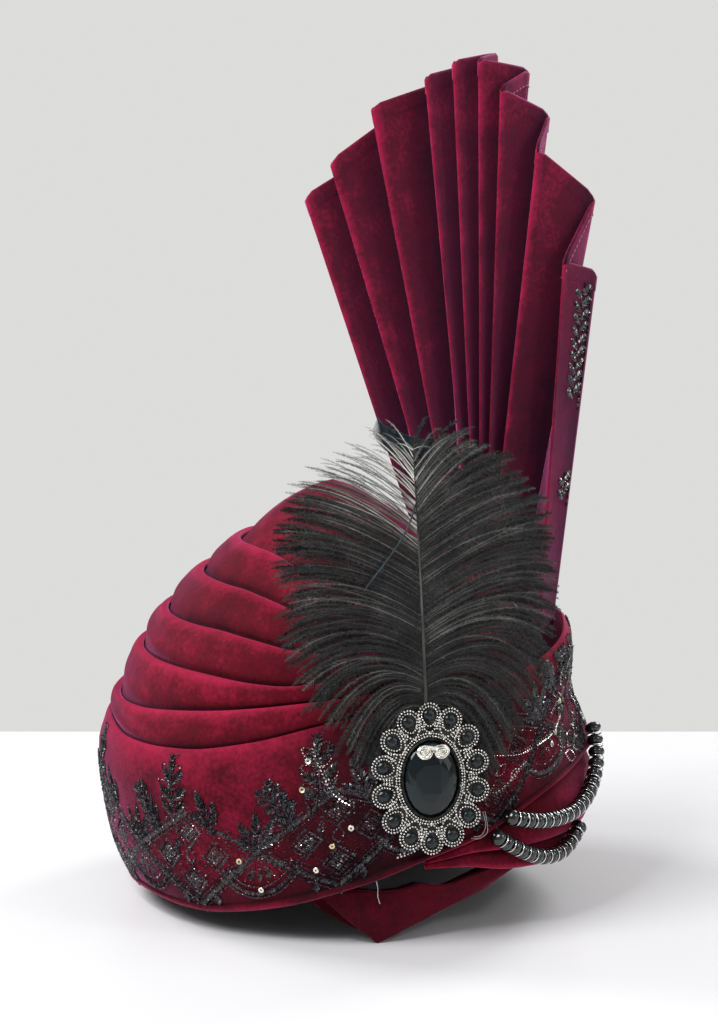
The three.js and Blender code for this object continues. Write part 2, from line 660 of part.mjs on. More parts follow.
// A round cup or cut stone, turned from its radii and heights.
function turned(profile, sides) {
  const lathe = new THREE.LatheGeometry(profile.map(([r, z]) => new THREE.Vector2(r, z)), sides);
  lathe.rotateX(Math.PI / 2);
  const plain = lathe.clone();
  plain.deleteAttribute('normal');
  plain.deleteAttribute('uv');
  const merged = mergeVertices(plain, 1e-4);
  const at = merged.attributes.position;
  const points = Array.from({ length: at.count }, (_, i) => new THREE.Vector3().fromBufferAttribute(at, i));
  return outward(points, Array.from(merged.index.array));
}

const CUP_FLOOR = PLATE + 0.8;
const CUP_EDGE = PLATE + 2;
const STONE_BASE = PLATE + STONE_GAP;

function petalMiddles() {
  return Array.from({ length: PETALS }, (_, i) => {
    const angle = Math.PI / 2 - (2 * Math.PI * i) / PETALS;
    return new THREE.Vector2(
      0.5 * PETAL_RING_WIDTH * Math.cos(angle), 0.5 * PETAL_RING_HEIGHT * Math.sin(angle));
  });
}

function broochSetting() {
  const recess = GEM + STONE_GAP;
  const cup = turned([
    [0, 0], [PETAL, 0], [PETAL, CUP_EDGE], [recess, CUP_EDGE], [recess, CUP_FLOOR], [0, CUP_FLOOR],
  ], 10);
  let body = solid(oval(PETAL_RING_WIDTH, PETAL_RING_HEIGHT, 0, PLATE, 24));
  petalMiddles().forEach((middle) => {
    body = body.add(solid(cup.clone().translate(middle.x, middle.y, 0)));
  });
  const wallWidth = STONE_WIDTH + 2 * (STONE_GAP + BEZEL);
  const wallHeight = STONE_HEIGHT + 2 * (STONE_GAP + BEZEL);
  const bezelTop = PLATE + 0.45 * STONE_RISE;
  const wall = solid(oval(wallWidth, wallHeight, 0, bezelTop, 24));
  const room = solid(oval(
    STONE_WIDTH + 2 * STONE_GAP, STONE_HEIGHT + 2 * STONE_GAP, PLATE, bezelTop + STONE_RISE, 24));
  return geometryOf(body.add(wall).subtract(room));
}

function cutStone(radius, rise, base, sides) {
  return turned([
    [0, base], [radius, base], [radius, base + 0.3 * rise], [0.62 * radius, base + rise], [0, base + rise],
  ], sides);
}

function ovalStone() {
  const stone = cutStone(0.5, STONE_RISE, STONE_BASE, 16);
  stone.scale(STONE_WIDTH, STONE_HEIGHT, 1);
  return stone;
}

// Bow-shaped ornament that lies over the top of the oval stone.
const BOW = [
  { x: 0, y: 0.1 }, { x: 0.22, y: -0.38 }, { x: 0.7, y: -0.42 }, { x: 1, y: 0.08 }, { x: 0.72, y: 0.5 },
  { x: 0.3, y: 0.5 }, { x: 0, y: 0.42 },
];
const BOW_HALF = 9.2;
const BOW_TALL = 7.6;
const BOW_THICK = 1.4;

function bow() {
  const right = BOW.map(({ x, y }) => new THREE.Vector2(x * BOW_HALF, y * BOW_TALL));
  const left = BOW.slice(1, -1).reverse().map(({ x, y }) => new THREE.Vector2(-x * BOW_HALF, y * BOW_TALL));
  const outline = new THREE.Shape([...right, ...left]);
  const plate = new THREE.ExtrudeGeometry(outline, { depth: BOW_THICK, bevelEnabled: false });
  return plate.translate(0, 0.36 * STONE_HEIGHT, STONE_BASE + STONE_RISE + STONE_GAP);
}

// Bead strings: chosen points of their routes, as degrees from the brow and heights as shares
// of the crest height. They are sewn on beside the brooch and at their far ends.
const UPPER_ROUTE = [
  { at: 18, height: 0.294 }, { at: 24, height: 0.275 }, { at: 31, height: 0.262 }, { at: 40, height: 0.258 },
  { at: 48, height: 0.272 }, { at: 54, height: 0.305 }, { at: 58, height: 0.35 }, { at: 60.5, height: 0.4 },
  { at: 61, height: 0.425 },
];
const LOWER_ROUTE = [
  { at: 15, height: 0.255 }, { at: 20, height: 0.222 }, { at: 26, height: 0.191 }, { at: 32, height: 0.173 },
  { at: 38, height: 0.17 }, { at: 42.5, height: 0.185 }, { at: 46, height: 0.208 }, { at: 49.5, height: 0.228 },
];

function beadString(route) {
  const lift = LIP + BEAD_SEAT + BEAD;
  const points = route.map(({ at, height }) => bandSurface(at, height * CROWN_TOP, lift));
  const path = new THREE.CatmullRomCurve3(points);
  const length = path.getLength();
  const count = Math.floor(length / BEAD_PITCH);
  const profile = [{ along: -0.5, radius: 0.5 }, { along: -0.26, radius: 1 }, { along: 0.26, radius: 1 }];
  const rings = [];
  for (let i = 0; i < count; i += 1) {
    profile.forEach(({ along, radius }) => {
      rings.push({ at: (i + 0.5 + along) * BEAD_PITCH, radius: radius * BEAD });
    });
  }
  rings.push({ at: count * BEAD_PITCH, radius: 0.5 * BEAD });
  const corners = [];
  const index = [];
  rings.forEach(({ at, radius }) => {
    const share = THREE.MathUtils.clamp(at / length, 0, 1);
    const middle = path.getPointAt(share);
    const along = path.getTangentAt(share);
    const side = new THREE.Vector3().crossVectors(along, new THREE.Vector3(middle.x, middle.y, 0)).normalize();
    const out = new THREE.Vector3().crossVectors(side, along);
    for (let k = 0; k < BEAD_SIDES; k += 1) {
      const turn = (2 * Math.PI * (k + 0.5)) / BEAD_SIDES;
      corners.push(middle.clone()
        .addScaledVector(side, radius * Math.cos(turn))
        .addScaledVector(out, radius * Math.sin(turn)));
    }
  });
  for (let j = 0; j < rings.length - 1; j += 1) {
    for (let k = 0; k < BEAD_SIDES; k += 1) {
      const a = j * BEAD_SIDES + k;
      const b = j * BEAD_SIDES + ((k + 1) % BEAD_SIDES);
      index.push(a, b, b + BEAD_SIDES, a, b + BEAD_SIDES, a + BEAD_SIDES);
    }
  }
  const last = (rings.length - 1) * BEAD_SIDES;
  for (let k = 1; k < BEAD_SIDES - 1; k += 1) {
    index.push(0, k + 1, k, last, last + k, last + k + 1);
  }
  return outward(corners, index);
}

// Assembly
const turban = new THREE.Group();
turban.add(piece('cap', paddedCap(), 'lining'));
turban.add(piece('crest_sheet', crestSheet(), 'velvet'));
turban.add(piece('brow_band', browBand(), 'embroidered'));

// Folds of one side, each over the next higher one; the lowest is tucked under the band.
function foldLines(table, fold) {
  const line = (at, i) => (i < 0 ? edge(BAND_EDGES, at, 'top') + (i + 1) * 2 * TUCK : edge(table, at, i));
  return (at) => ({ free: line(at, fold), cover: line(at, fold - 1), beyond: line(at, fold - 2) });
}
PLEAT_EDGES[0].folds.forEach((_, fold) => {
  turban.add(piece(`right_fold_${fold + 1}`, foldedWrap(angles(STEP - 180, 0), foldLines(PLEAT_EDGES, fold)), 'velvet'));
});
LEFT_FOLD_EDGES[0].folds.forEach((_, fold) => {
  const stations = [END_GAP, ...angles(STEP, 180), 180 + STEP - END_GAP];
  turban.add(piece(`left_fold_${fold + 1}`, foldedWrap(stations, foldLines(LEFT_FOLD_EDGES, fold)), 'velvet'));
});

const WRAP_STATIONS = angles(0, 156);
const wrapLines = (at) => ({
  hem: edge(BAND_EDGES, at, 'hem'),
  upper: edge(WRAP_EDGES, at, 'upper'),
  lower: edge(WRAP_EDGES, at, 'lower'),
});
turban.add(piece('left_wrap_upper', foldedWrap(WRAP_STATIONS, (at) => {
  const { hem, upper } = wrapLines(at);
  return { free: upper, cover: hem, beyond: hem + 2 * TUCK };
}), 'velvet'));
turban.add(piece('left_wrap_lower', foldedWrap(WRAP_STATIONS, (at) => {
  const { hem, upper, lower } = wrapLines(at);
  return { free: lower, cover: upper, beyond: hem };
}), 'velvet'));
turban.add(piece('tucked_end', tuckedEnd(), 'velvet'));
turban.add(piece('fan', pleatedFan(), 'velvet'));
turban.add(piece('plume', geometryOf(plume()), 'feather'));
turban.add(piece('small_feather', geometryOf(smallFeather(0)), 'blue_feather'));
turban.add(piece('bead_string_upper', beadString(UPPER_ROUTE), 'hematite'));
turban.add(piece('bead_string_lower', beadString(LOWER_ROUTE), 'hematite'));

const brooch = new THREE.Group();
brooch.add(piece('brooch_setting', broochSetting(), 'gunmetal'));
brooch.add(piece('brooch_stone', ovalStone(), 'jet'));
brooch.add(piece('brooch_bow', bow(), 'pale_gold'));
petalMiddles().forEach((middle, i) => {
  const gem = piece(`petal_stone_${i + 1}`, cutStone(GEM, 1.6, CUP_FLOOR + STONE_GAP, 8), 'jet');
  gem.position.set(middle.x, middle.y, 0);
  brooch.add(gem);
});
brooch.rotation.x = (90 - BROOCH_TILT) * RAD;
const quillFace = PLUME_FOOT.y - QUILL - STONE_GAP;
brooch.position.set(0, quillFace - (PLUME_FOOT.z - BROOCH_LEVEL) * Math.tan(BROOCH_TILT * RAD), BROOCH_LEVEL);
turban.add(brooch);

// The origin is the middle of the whole part's outline on the surface it stands on.
turban.updateMatrixWorld(true);
const bounds = new THREE.Box3().setFromObject(turban, true);
const middle = bounds.getCenter(new THREE.Vector3());
turban.position.set(-middle.x, -middle.y, -bounds.min.z);
turban.updateMatrixWorld(true);

export default turban;
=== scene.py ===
import math

import bmesh
import bpy
import numpy as np
from mathutils import Matrix, Vector


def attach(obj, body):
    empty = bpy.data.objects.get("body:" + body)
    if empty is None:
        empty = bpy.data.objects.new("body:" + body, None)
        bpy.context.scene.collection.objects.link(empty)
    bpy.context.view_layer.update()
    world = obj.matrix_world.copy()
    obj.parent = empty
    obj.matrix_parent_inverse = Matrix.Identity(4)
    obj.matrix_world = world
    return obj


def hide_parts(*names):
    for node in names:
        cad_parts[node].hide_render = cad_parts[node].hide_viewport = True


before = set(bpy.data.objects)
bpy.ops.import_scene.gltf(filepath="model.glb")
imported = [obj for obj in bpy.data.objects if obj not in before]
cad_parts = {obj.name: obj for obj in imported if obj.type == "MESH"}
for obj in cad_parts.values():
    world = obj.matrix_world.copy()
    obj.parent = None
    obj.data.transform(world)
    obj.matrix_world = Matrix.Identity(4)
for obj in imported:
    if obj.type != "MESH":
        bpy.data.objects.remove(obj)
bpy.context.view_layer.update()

# The studio: a pale table with a straight back edge, a pale room and soft lamps, seen from the
# photo's side. Nothing here is part of the turban.
VIEW_TURN = math.radians(-18)
VIEW_RISE = math.radians(7.5)
VIEW_AWAY = 1.65
AIM = Vector((0.0069, -0.0030, 0.215))
LENS = 103.58
TABLE_BACK = 0.43
TABLE_FRONT = 1.6
TABLE_SIDE = 1.7
WALL_PAINT = (0.80, 0.80, 0.785, 1)
WALL_LIGHT = 0.42
WALL_SEEN = 0.9



def look_at_turban(name, data, turn, rise, distance):
    """Puts the camera or a lamp on a side of the turban, a turn and a rise in radians, facing it."""
    seen_from = Vector((math.sin(turn) * math.cos(rise), -math.cos(turn) * math.cos(rise), math.sin(rise)))
    thing = bpy.data.objects.new(name, data)
    thing.location = AIM + seen_from * distance
    thing.rotation_euler = (-seen_from).to_track_quat("-Z", "Y").to_euler()
    bpy.context.scene.collection.objects.link(thing)
    return thing


camera = look_at_turban("camera", bpy.data.cameras.new("camera"), VIEW_TURN, VIEW_RISE, VIEW_AWAY)
camera.data.lens = LENS
camera.data.sensor_width = 36
bpy.context.scene.camera = camera


def shader(name, roughness, metallic=0.0, specular=0.5):
    """A material and the parts of its tree that every finish here starts from."""
    material = bpy.data.materials.new(name)
    material.use_nodes = True
    tree = material.node_tree
    surface = tree.nodes["Principled BSDF"]
    surface.inputs["Roughness"].default_value = roughness
    surface.inputs["Metallic"].default_value = metallic
    surface.inputs["Specular IOR Level"].default_value = specular
    place = tree.nodes.new("ShaderNodeTexCoord").outputs["Object"]
    return material, tree, surface, place


def grain(tree, place, scale, detail=2.0, stretch=(1, 1, 1)):
    """Noise at a scale per metre, stretched along an axis, read from object coordinates."""
    mapping = tree.nodes.new("ShaderNodeMapping")
    mapping.inputs["Scale"].default_value = stretch
    noise = tree.nodes.new("ShaderNodeTexNoise")
    noise.inputs["Scale"].default_value = scale
    noise.inputs["Detail"].default_value = detail
    tree.links.new(place, mapping.inputs["Vector"])
    tree.links.new(mapping.outputs["Vector"], noise.inputs["Vector"])
    return noise.outputs["Fac"]


def tones(tree, value, stops):
    """Colours along a value: a list of (position, (r, g, b))."""
    ramp = tree.nodes.new("ShaderNodeValToRGB")
    steps = ramp.color_ramp.elements
    while len(steps) < len(stops):
        steps.new(0.5)
    for step, (at, colour) in zip(steps, stops):
        step.position = at
        step.color = (*colour, 1)
    tree.links.new(value, ramp.inputs["Fac"])
    return ramp.outputs["Color"]


def relief(tree, surface, value, distance, strength=1.0, under=None):
    """Bump from a value, over another bump when one is given."""
    bump = tree.nodes.new("ShaderNodeBump")
    bump.inputs["Distance"].default_value = distance
    bump.inputs["Strength"].default_value = strength
    tree.links.new(value, bump.inputs["Height"])
    if under is not None:
        tree.links.new(under, bump.inputs["Normal"])
    tree.links.new(bump.outputs["Normal"], surface.inputs["Normal"])
    return bump.outputs["Normal"]


table_paint, tree, surface, place = shader("table", 0.32, specular=0.35)
tree.links.new(tones(tree, grain(tree, place, 3), [(0.3, (0.74, 0.74, 0.76)), (0.7, (0.8, 0.8, 0.82))]),
               surface.inputs["Base Color"])
across = Vector((math.cos(VIEW_TURN), math.sin(VIEW_TURN), 0))
away = Vector((-math.sin(VIEW_TURN), math.cos(VIEW_TURN), 0))
table = bpy.data.objects.new("table", bpy.data.meshes.new("table"))
table.data.from_pydata(
    [across * x + away * y for x, y in ((-TABLE_SIDE, -TABLE_FRONT), (TABLE_SIDE, -TABLE_FRONT),
                                        (TABLE_SIDE, TABLE_BACK), (-TABLE_SIDE, TABLE_BACK))],
    [], [(0, 1, 2, 3)])
table.data.materials.append(table_paint)
bpy.context.scene.collection.objects.link(table)

room = bpy.data.worlds.new("room")
room.use_nodes = True
wall = room.node_tree.nodes["Background"]
wall.inputs["Color"].default_value = WALL_PAINT
seen = room.node_tree.nodes.new("ShaderNodeLightPath")
bright = room.node_tree.nodes.new("ShaderNodeMapRange")
bright.inputs["To Min"].default_value = WALL_LIGHT
bright.inputs["To Max"].default_value = WALL_SEEN
room.node_tree.links.new(seen.outputs["Is Camera Ray"], bright.inputs["Value"])
room.node_tree.links.new(bright.outputs["Result"], wall.inputs["Strength"])
bpy.context.scene.world = room
bpy.context.scene.view_settings.view_transform = "Standard"

for name, turn, rise, distance, width, power in (
        ("key", -62, 40, 1.5, 0.8, 19), ("fill", 40, 18, 1.8, 1.2, 5.5),
        ("rim_right", 122, 30, 1.4, 0.6, 12), ("rim_left", -132, 34, 1.4, 0.6, 13),
        ("spark_left", -38, 38, 1.3, 0.13, 3.2), ("spark_right", 34, 26, 1.3, 0.1, 1.6)):
    lamp = look_at_turban(name, bpy.data.lights.new(name, "AREA"), math.radians(turn), math.radians(rise),
                          distance)
    lamp.data.size = width
    lamp.data.energy = power

# The wound velvet: a doubled length of maroon velvet laid round a padded cap in folds, each
# tucked under its neighbour. Five folds show on the wearer's right and two on the left.
CROWN_TOP = 234.0
HALF_WIDTH = 137.0
FRONT_REACH = 141.0
BACK_REACH = 150.0
CREST_LEAN = 8.0
PLY = 2.0
OVER = 2.5
UNDER = 5.0
LIP = 0.6
TUCK = 9.0
COLLAR_FLARE = 25.0
PILE_WAVE = 0.55
# Painted light across each fold, from its hidden crease to its inner side: painted shade in the crease under
# the fold above, a painted highlight along the rounded free edge.
FOLD_SHADING = (0, 0.02, 0.3, 0.48, 0.52, 0.62, 0.95, 1.2, 1, 0.4, 0.2, 0.2, 0.2, 0.1, 0)
AXIS = np.array((0.071, -0.8327, 0.0))
MERIDIAN = np.array((
    (0.0, 0.8), (0.06, 0.89), (0.15, 0.955), (0.25, 0.985), (0.355, 1.0), (0.44, 0.965), (0.526, 0.89),
    (0.62, 0.805), (0.701, 0.7), (0.786, 0.553), (0.87, 0.38), (0.94, 0.22), (0.98, 0.1), (1.0, 0.0)))
BAND_EDGES = np.array((
    (-180, 0.026, 0.455, 0), (-140, 0.03, 0.455, 0), (-100, 0.042, 0.448, 0), (-82, 0.05, 0.428, 0),
    (-67, 0.043, 0.429, 0), (-53, 0.051, 0.44, 0), (-39, 0.076, 0.468, 0), (-28, 0.103, 0.498, 0),
    (-19, 0.135, 0.52, 0), (-10, 0.165, 0.535, 0), (1, 0.21, 0.55, 0), (13, 0.244, 0.567, 0.05),
    (24, 0.294, 0.585, 0.2), (35, 0.334, 0.605, 0.5), (55, 0.37, 0.65, 0.9), (72, 0.368, 0.678, 1),
    (90, 0.34, 0.667, 1), (110, 0.26, 0.625, 0.75), (130, 0.17, 0.56, 0.35), (150, 0.09, 0.5, 0.1),
    (180, 0.026, 0.455, 0)))
RIGHT_FOLDS = np.array((
    (-170, 0.512, 0.625, 0.71, 0.795, 0.868), (-95, 0.492, 0.606, 0.695, 0.785, 0.863),
    (-77, 0.5, 0.603, 0.694, 0.783, 0.862), (-57, 0.519, 0.599, 0.691, 0.777, 0.855),
    (-43, 0.535, 0.59, 0.678, 0.761, 0.84), (-32, 0.55, 0.587, 0.663, 0.74, 0.815),
    (-20, 0.564, 0.604, 0.656, 0.71, 0.775), (0, 0.588, 0.626, 0.664, 0.702, 0.742)))
LEFT_FOLDS = np.array((
    (0, 0.66, 0.742), (30, 0.68, 0.76), (60, 0.725, 0.79), (90, 0.745, 0.82), (120, 0.725, 0.845),
    (150, 0.68, 0.86), (192, 0.66, 0.868)))
LEFT_WRAPS = np.array((
    (0, 0.196, 0.186), (11, 0.214, 0.18), (20, 0.206, 0.157), (37, 0.2, 0.141), (60, 0.195, 0.135),
    (90, 0.17, 0.1), (120, 0.1, 0.045), (160, 0.05, 0.022)))


def smooth_line(points, steps):
    """Catmull-Rom through points: an array (n, ...) becomes ((n - 1) * steps + 1, ...)."""
    points = np.asarray(points, float)
    padded = np.concatenate([points[:1], points, points[-1:]])
    t = np.linspace(0, 1, steps, endpoint=False).reshape((-1,) + (1,) * (points.ndim - 1))
    rows = []
    for a, b, c, d in zip(padded[:-3], padded[1:-2], padded[2:-1], padded[3:]):
        rows.append(b + 0.5 * (c - a) * t + (a - 2.5 * b + 2 * c - 0.5 * d) * t ** 2
                    + (1.5 * b - 1.5 * c + 0.5 * d - 0.5 * a) * t ** 3)
    return np.concatenate(rows + [points[-1:]])


meridian = smooth_line(MERIDIAN, 12)
meridian_slope = np.gradient(meridian[:, 1], meridian[:, 0])


def winding(at, height, offset):
    """A point of the winding's mean surface, moved out by an offset; degrees and millimetres."""
    at, height, offset = np.broadcast_arrays(np.asarray(at, float), height, offset)
    share = np.clip(height / CROWN_TOP, 0, 1)
    reach = np.interp(share, meridian[:, 0], meridian[:, 1])
    angle = np.radians(at)
    ahead = np.where(np.cos(angle) > 0, FRONT_REACH, BACK_REACH)
    radius = 1 / np.hypot(np.sin(angle) / HALF_WIDTH, np.cos(angle) / ahead)
    slope = np.minimum(0, np.interp(share, meridian[:, 0], meridian_slope) * radius / CROWN_TOP)
    square = np.hypot(1, slope)
    out = np.where(reach < 0.001, 0, reach * radius + offset / square)
    lift = np.where(reach < 0.001, offset, -slope * offset / square)
    return np.stack([out * np.sin(angle) - CREST_LEAN * share ** 2, -out * np.cos(angle),
                     share * CROWN_TOP + lift], -1)


def edge_line(table, column):
    """A fold's edge as a smooth function of the angle; heights in millimetres."""
    whole = np.arange(-400, 401.0)
    if table[0, 0] == -180:
        first = np.interp((whole + 180) % 360 - 180, table[:, 0], table[:, column])
    else:
        first = np.interp(whole, table[:, 0], table[:, column])
    spread = np.exp(-0.5 * (np.arange(-9, 10) / 3.0) ** 2)
    even = np.convolve(np.pad(first, 9, mode="edge"), spread / spread.sum(), mode="valid")
    return lambda at: np.interp(at, whole, even) * CROWN_TOP


def wrapped(line, table):
    """An edge line that carries on round the back of the head past the ends of its table."""
    low, high = table[0, 0], table[-1, 0]
    return lambda at: line(np.where(at < low, at + 360, np.where(at > high, at - 360, at)))


hem_line = edge_line(BAND_EDGES, 1)
band_top_line = edge_line(BAND_EDGES, 2)
flare_line = edge_line(BAND_EDGES, 3)


def ripple(at, along, seed, waves=7, fine=1.0):
    """Soft uneven waves, about -1 to 1, that run along the winding; the seed picks them."""
    draw = np.random.default_rng(seed)
    total = np.zeros(np.broadcast_shapes(np.shape(at), np.shape(along)))
    for _ in range(waves):
        total = total + draw.uniform(0.4, 1) * np.sin(
            np.radians(at) * draw.uniform(1.5, 7) * fine + along * draw.uniform(0.1, 0.35) * fine
            + draw.uniform(0, 6.283))
    return total / waves ** 0.5 / 1.2


def to_metres(points):
    """From millimetres about the winding's axis to metres in the part's frame."""
    return (np.asarray(points, float) + AXIS) * 0.001


def show(name, mesh):
    """Puts a mesh in the scene as a piece."""
    piece = bpy.data.objects.new(name, mesh)
    bpy.context.scene.collection.objects.link(piece)
    return piece


def mark(mesh, label, values):
    """Writes a value, or a direction, for each point of a mesh."""
    values = np.ascontiguousarray(values, np.float32)
    kind, key = ("FLOAT_VECTOR", "vector") if values.ndim == 2 else ("FLOAT", "value")
    mesh.attributes.new(label, kind, "POINT").data.foreach_set(key, values.ravel())


def loop_faces(count, size, ring):
    """Faces between loops of points, closed by the first loop again or by an end face each."""
    faces = []
    for j in range(count if ring else count - 1):
        here, there = j * size, (j + 1) % count * size
        faces += [(here + k, here + (k + 1) % size, there + (k + 1) % size, there + k) for k in range(size)]
    if not ring:
        faces += [tuple(range(size)), tuple((count - 1) * size + k for k in range(size))]
    return faces


def cloth_loops(name, loops, ring, material, painted_light=0.5):
    """A closed piece of cloth through loops of points, (stations, points, 3) in millimetres.

    Its last argument is painted light for each point: 0 a painted shade in a crease, 1 a painted highlight on
    an edge."""
    mesh = bpy.data.meshes.new(name)
    mesh.from_pydata(to_metres(loops.reshape(-1, 3)).tolist(), [], loop_faces(*loops.shape[:2], ring))
    mark(mesh, "painted_light", np.broadcast_to(painted_light, loops.shape[:2]).ravel())
    shape = bmesh.new()
    shape.from_mesh(mesh)
    bmesh.ops.remove_doubles(shape, verts=shape.verts, dist=1e-6)
    bmesh.ops.triangulate(shape, faces=[f for f in shape.faces if len(f.verts) > 4])
    bmesh.ops.recalc_face_normals(shape, faces=shape.faces)
    for face in shape.faces:
        face.smooth = True
    shape.to_mesh(mesh)
    shape.free()
    mesh.materials.append(material)
    return show(name, mesh)


def folded_length(at, free, cover, beyond, swell, seed):
    """Loops of one folded length: hidden under `cover`, free at its rounded edge `free`."""
    height = free - cover
    way = np.sign(height)
    depth = np.minimum(TUCK, 0.45 * np.abs(height))
    hidden = cover - way * np.minimum(TUCK, 0.45 * np.abs(cover - beyond))
    one = np.ones_like(at)
    swell = swell * np.clip(np.abs(height) / 22, 0.15, 1) * (1 + 0.35 * ripple(at, 0, seed))
    outer = [
        (hidden, -3.0 * one), (cover, -2.9 * one), (cover + 0.13 * height, -1.3 + 0.3 * swell),
        (cover + 0.32 * height, -0.3 + 0.7 * swell), (cover + 0.6 * height, 0.3 + swell),
        (free - way * 0.6 * depth, LIP + 0.9 * swell), (free - way * 0.22 * depth, LIP + 0.5 * swell),
        (free - way * 0.04 * depth, -0.3 * one), (free, -1.5 * one), (free - way * 0.05 * depth, -2.3 * one)]
    inner = [
        (free - way * 0.3 * depth, -OVER * one), (free - way * depth, -OVER * one),
        (cover + 0.3 * height, -OVER * one), (cover + 0.03 * height, -UNDER * one), (hidden, -UNDER * one)]
    keys = np.array([np.stack(pair) for pair in outer + inner])
    line = smooth_line(keys, 4)
    # Painted shade and highlight along the fold's profile.
    painted_light = smooth_line(np.array(FOLD_SHADING), 4)
    level, offset = line[:, 0].T, line[:, 1].T
    shown = np.clip((offset + 2.0) / 2.0, 0, 1)
    offset = offset + PILE_WAVE * shown * ripple(at[:, None], level, seed + 50, fine=2.0)
    return winding(at[:, None], level, offset), painted_light


def summed(tree, parts, start):
    """A weighted sum of values."""
    total = None
    for value, weight in parts:
        step = tree.nodes.new("ShaderNodeMath")
        step.operation = "MULTIPLY_ADD"
        tree.links.new(value, step.inputs[0])
        step.inputs[1].default_value = weight
        if total is None:
            step.inputs[2].default_value = start
        else:
            tree.links.new(total, step.inputs[2])
        total = step.outputs["Value"]
    return total


def velvet(name, dark, middle, lit, bloom=0.55, haze=0.3):
    """Cut-pile velvet: brushed patches, a fine pile grain, painted shade and highlight read from each point,
    and a pink bloom at grazing angles.
    """
    material, tree, surface, place = shader(name, 0.8, specular=0.1)
    surface.inputs["Sheen Weight"].default_value = bloom
    surface.inputs["Sheen Roughness"].default_value = haze
    surface.inputs["Sheen Tint"].default_value = (0.82, 0.19, 0.48, 1)
    painted_light = tree.nodes.new("ShaderNodeAttribute")
    painted_light.attribute_name = "painted_light"
    brushing_and_ridge_highlight = grain(tree, place, 75, 4)
    mottle = grain(tree, place, 420, 3)
    # Base colour: random brushed and mottled patches, plus the painted shade and highlight of each point.
    patches_and_painted_light = summed(tree, [(grain(tree, place, 16, 3, (1, 1, 1.8)), 0.55), (brushing_and_ridge_highlight, 0.46), (mottle, 0.42),
                         (painted_light.outputs["Fac"], 0.66)], -0.54)
    colour = tones(tree, patches_and_painted_light, [(0.12, dark), (0.5, middle), (0.9, lit)])
    tree.links.new(colour, surface.inputs["Base Color"])
    soft = relief(tree, surface, brushing_and_ridge_highlight, 0.0012, 0.3)
    relief(tree, surface, grain(tree, place, 1900, 1), 0.0004, 0.6, under=soft)
    return material


maroon = velvet("maroon_velvet", (0.018, 0.0005, 0.003), (0.088, 0.001, 0.0072), (0.29, 0.006, 0.035))


def stand_for(piece, node):
    """Puts a finished piece in the place of its CAD node."""
    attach(piece, "root")
    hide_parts(node)


def wind(name, node, at, free, cover, beyond, swell, seed):
    """One folded length of velvet, wound on and tucked under its neighbour."""
    loops, painted_light = folded_length(at, free, cover, beyond, swell, seed)
    piece = cloth_loops(name, loops, False, maroon, painted_light)
    stand_for(piece, node)
    return piece


at_right = np.arange(-168, 0.1, 1.5)
at_left = np.linspace(0.4, 191.6, 128)
right_lines = [edge_line(RIGHT_FOLDS, i + 1) for i in range(5)]
left_lines = [edge_line(LEFT_FOLDS, i + 1) for i in range(2)]
for side, at, lines, top_line, swell, seed, flats in (
        ("right", at_right, right_lines, band_top_line, 2.0, 10,
         ((0.38, 0.027), (0.36, 0.033), (0.33, 0.034), (0.29, 0.037), (0.25, 0.036))),
        ("left", at_left, left_lines, wrapped(band_top_line, BAND_EDGES), 1.6, 20,
         ((0.36, 0.05), (0.29, 0.055)))):
    stack = [top_line(at) - 2 * TUCK, top_line(at)] + [line(at) for line in lines]
    for i, flat in enumerate(flats):
        wind(f"fold_{side}_{i + 1}", f"{side}_fold_{i + 1}", at, stack[i + 2], stack[i + 1], stack[i],
             swell, seed + i)

# The smooth sheet over the crest, tucked all round under the highest folds and drawn towards
# the fan's foot in a few shallow creases.
at_whole = np.arange(-180, 180, 2.0)
highest_right, highest_left = right_lines[4], left_lines[1]
lower_right, lower_left = right_lines[3], left_lines[0]
on_right = (at_whole > -179) & (at_whole <= 0)
turned_left = np.where(at_whole < -90, at_whole + 360, at_whole)
sheet_edge = np.where(on_right, highest_right(at_whole), highest_left(turned_left))
sheet_below = np.where(on_right, lower_right(at_whole), lower_left(turned_left))
start = sheet_edge - np.minimum(TUCK, 0.45 * np.abs(sheet_edge - sheet_below))
outer = [(start, -3.0)] + [
    (sheet_edge + (CROWN_TOP - sheet_edge) * share, offset)
    for share, offset in ((0.03, -3.0), (0.25, -1.0), (0.5, 0.0), (0.75, 0.0), (0.92, 0.0), (1.0, 0.0))]
keys = np.array([np.stack([level, np.full_like(level, offset)]) for level, offset in outer])
line = smooth_line(keys, 5)
level, offset = line[:, 0].T, line[:, 1].T
rise = np.clip((level - sheet_edge[:, None]) / (CROWN_TOP - sheet_edge[:, None]), 0, 1)
crease = np.clip(rise * 3, 0, 1) * np.clip((1 - rise) * 2.5, 0, 1)
offset_out = offset + crease * (0.9 * ripple(at_whole[:, None], level * 0.3, 31, fine=1.6) - 0.3)
crest_out = winding(at_whole[:, None], level, offset_out)
crest_in = winding(at_whole[:, None], level, offset - PLY)[:, ::-1]
crest = cloth_loops("crest_cloth", np.concatenate([crest_out, crest_in], 1), True, maroon)
stand_for(crest, "crest_sheet")

# The two plain wraps under the band at the wearer's left: folded velvet again, each tucked up
# under the edge above it, with their free folds hanging down.
at_wraps = np.arange(0, 156.1, 1.5)
wrap_lines = [edge_line(LEFT_WRAPS, 1), edge_line(LEFT_WRAPS, 2)]
hem = hem_line(at_wraps)
edges = [hem + 2 * TUCK, hem, wrap_lines[0](at_wraps), wrap_lines[1](at_wraps)]
for i, (label, swell, flat) in enumerate((("upper", 1.4, (0.33, 0.042)), ("lower", 1.0, (0.33, 0.025)))):
    wind(f"wrap_{label}", f"left_wrap_{label}", at_wraps, edges[i + 2], edges[i + 1], edges[i],
         swell, 41 + i)
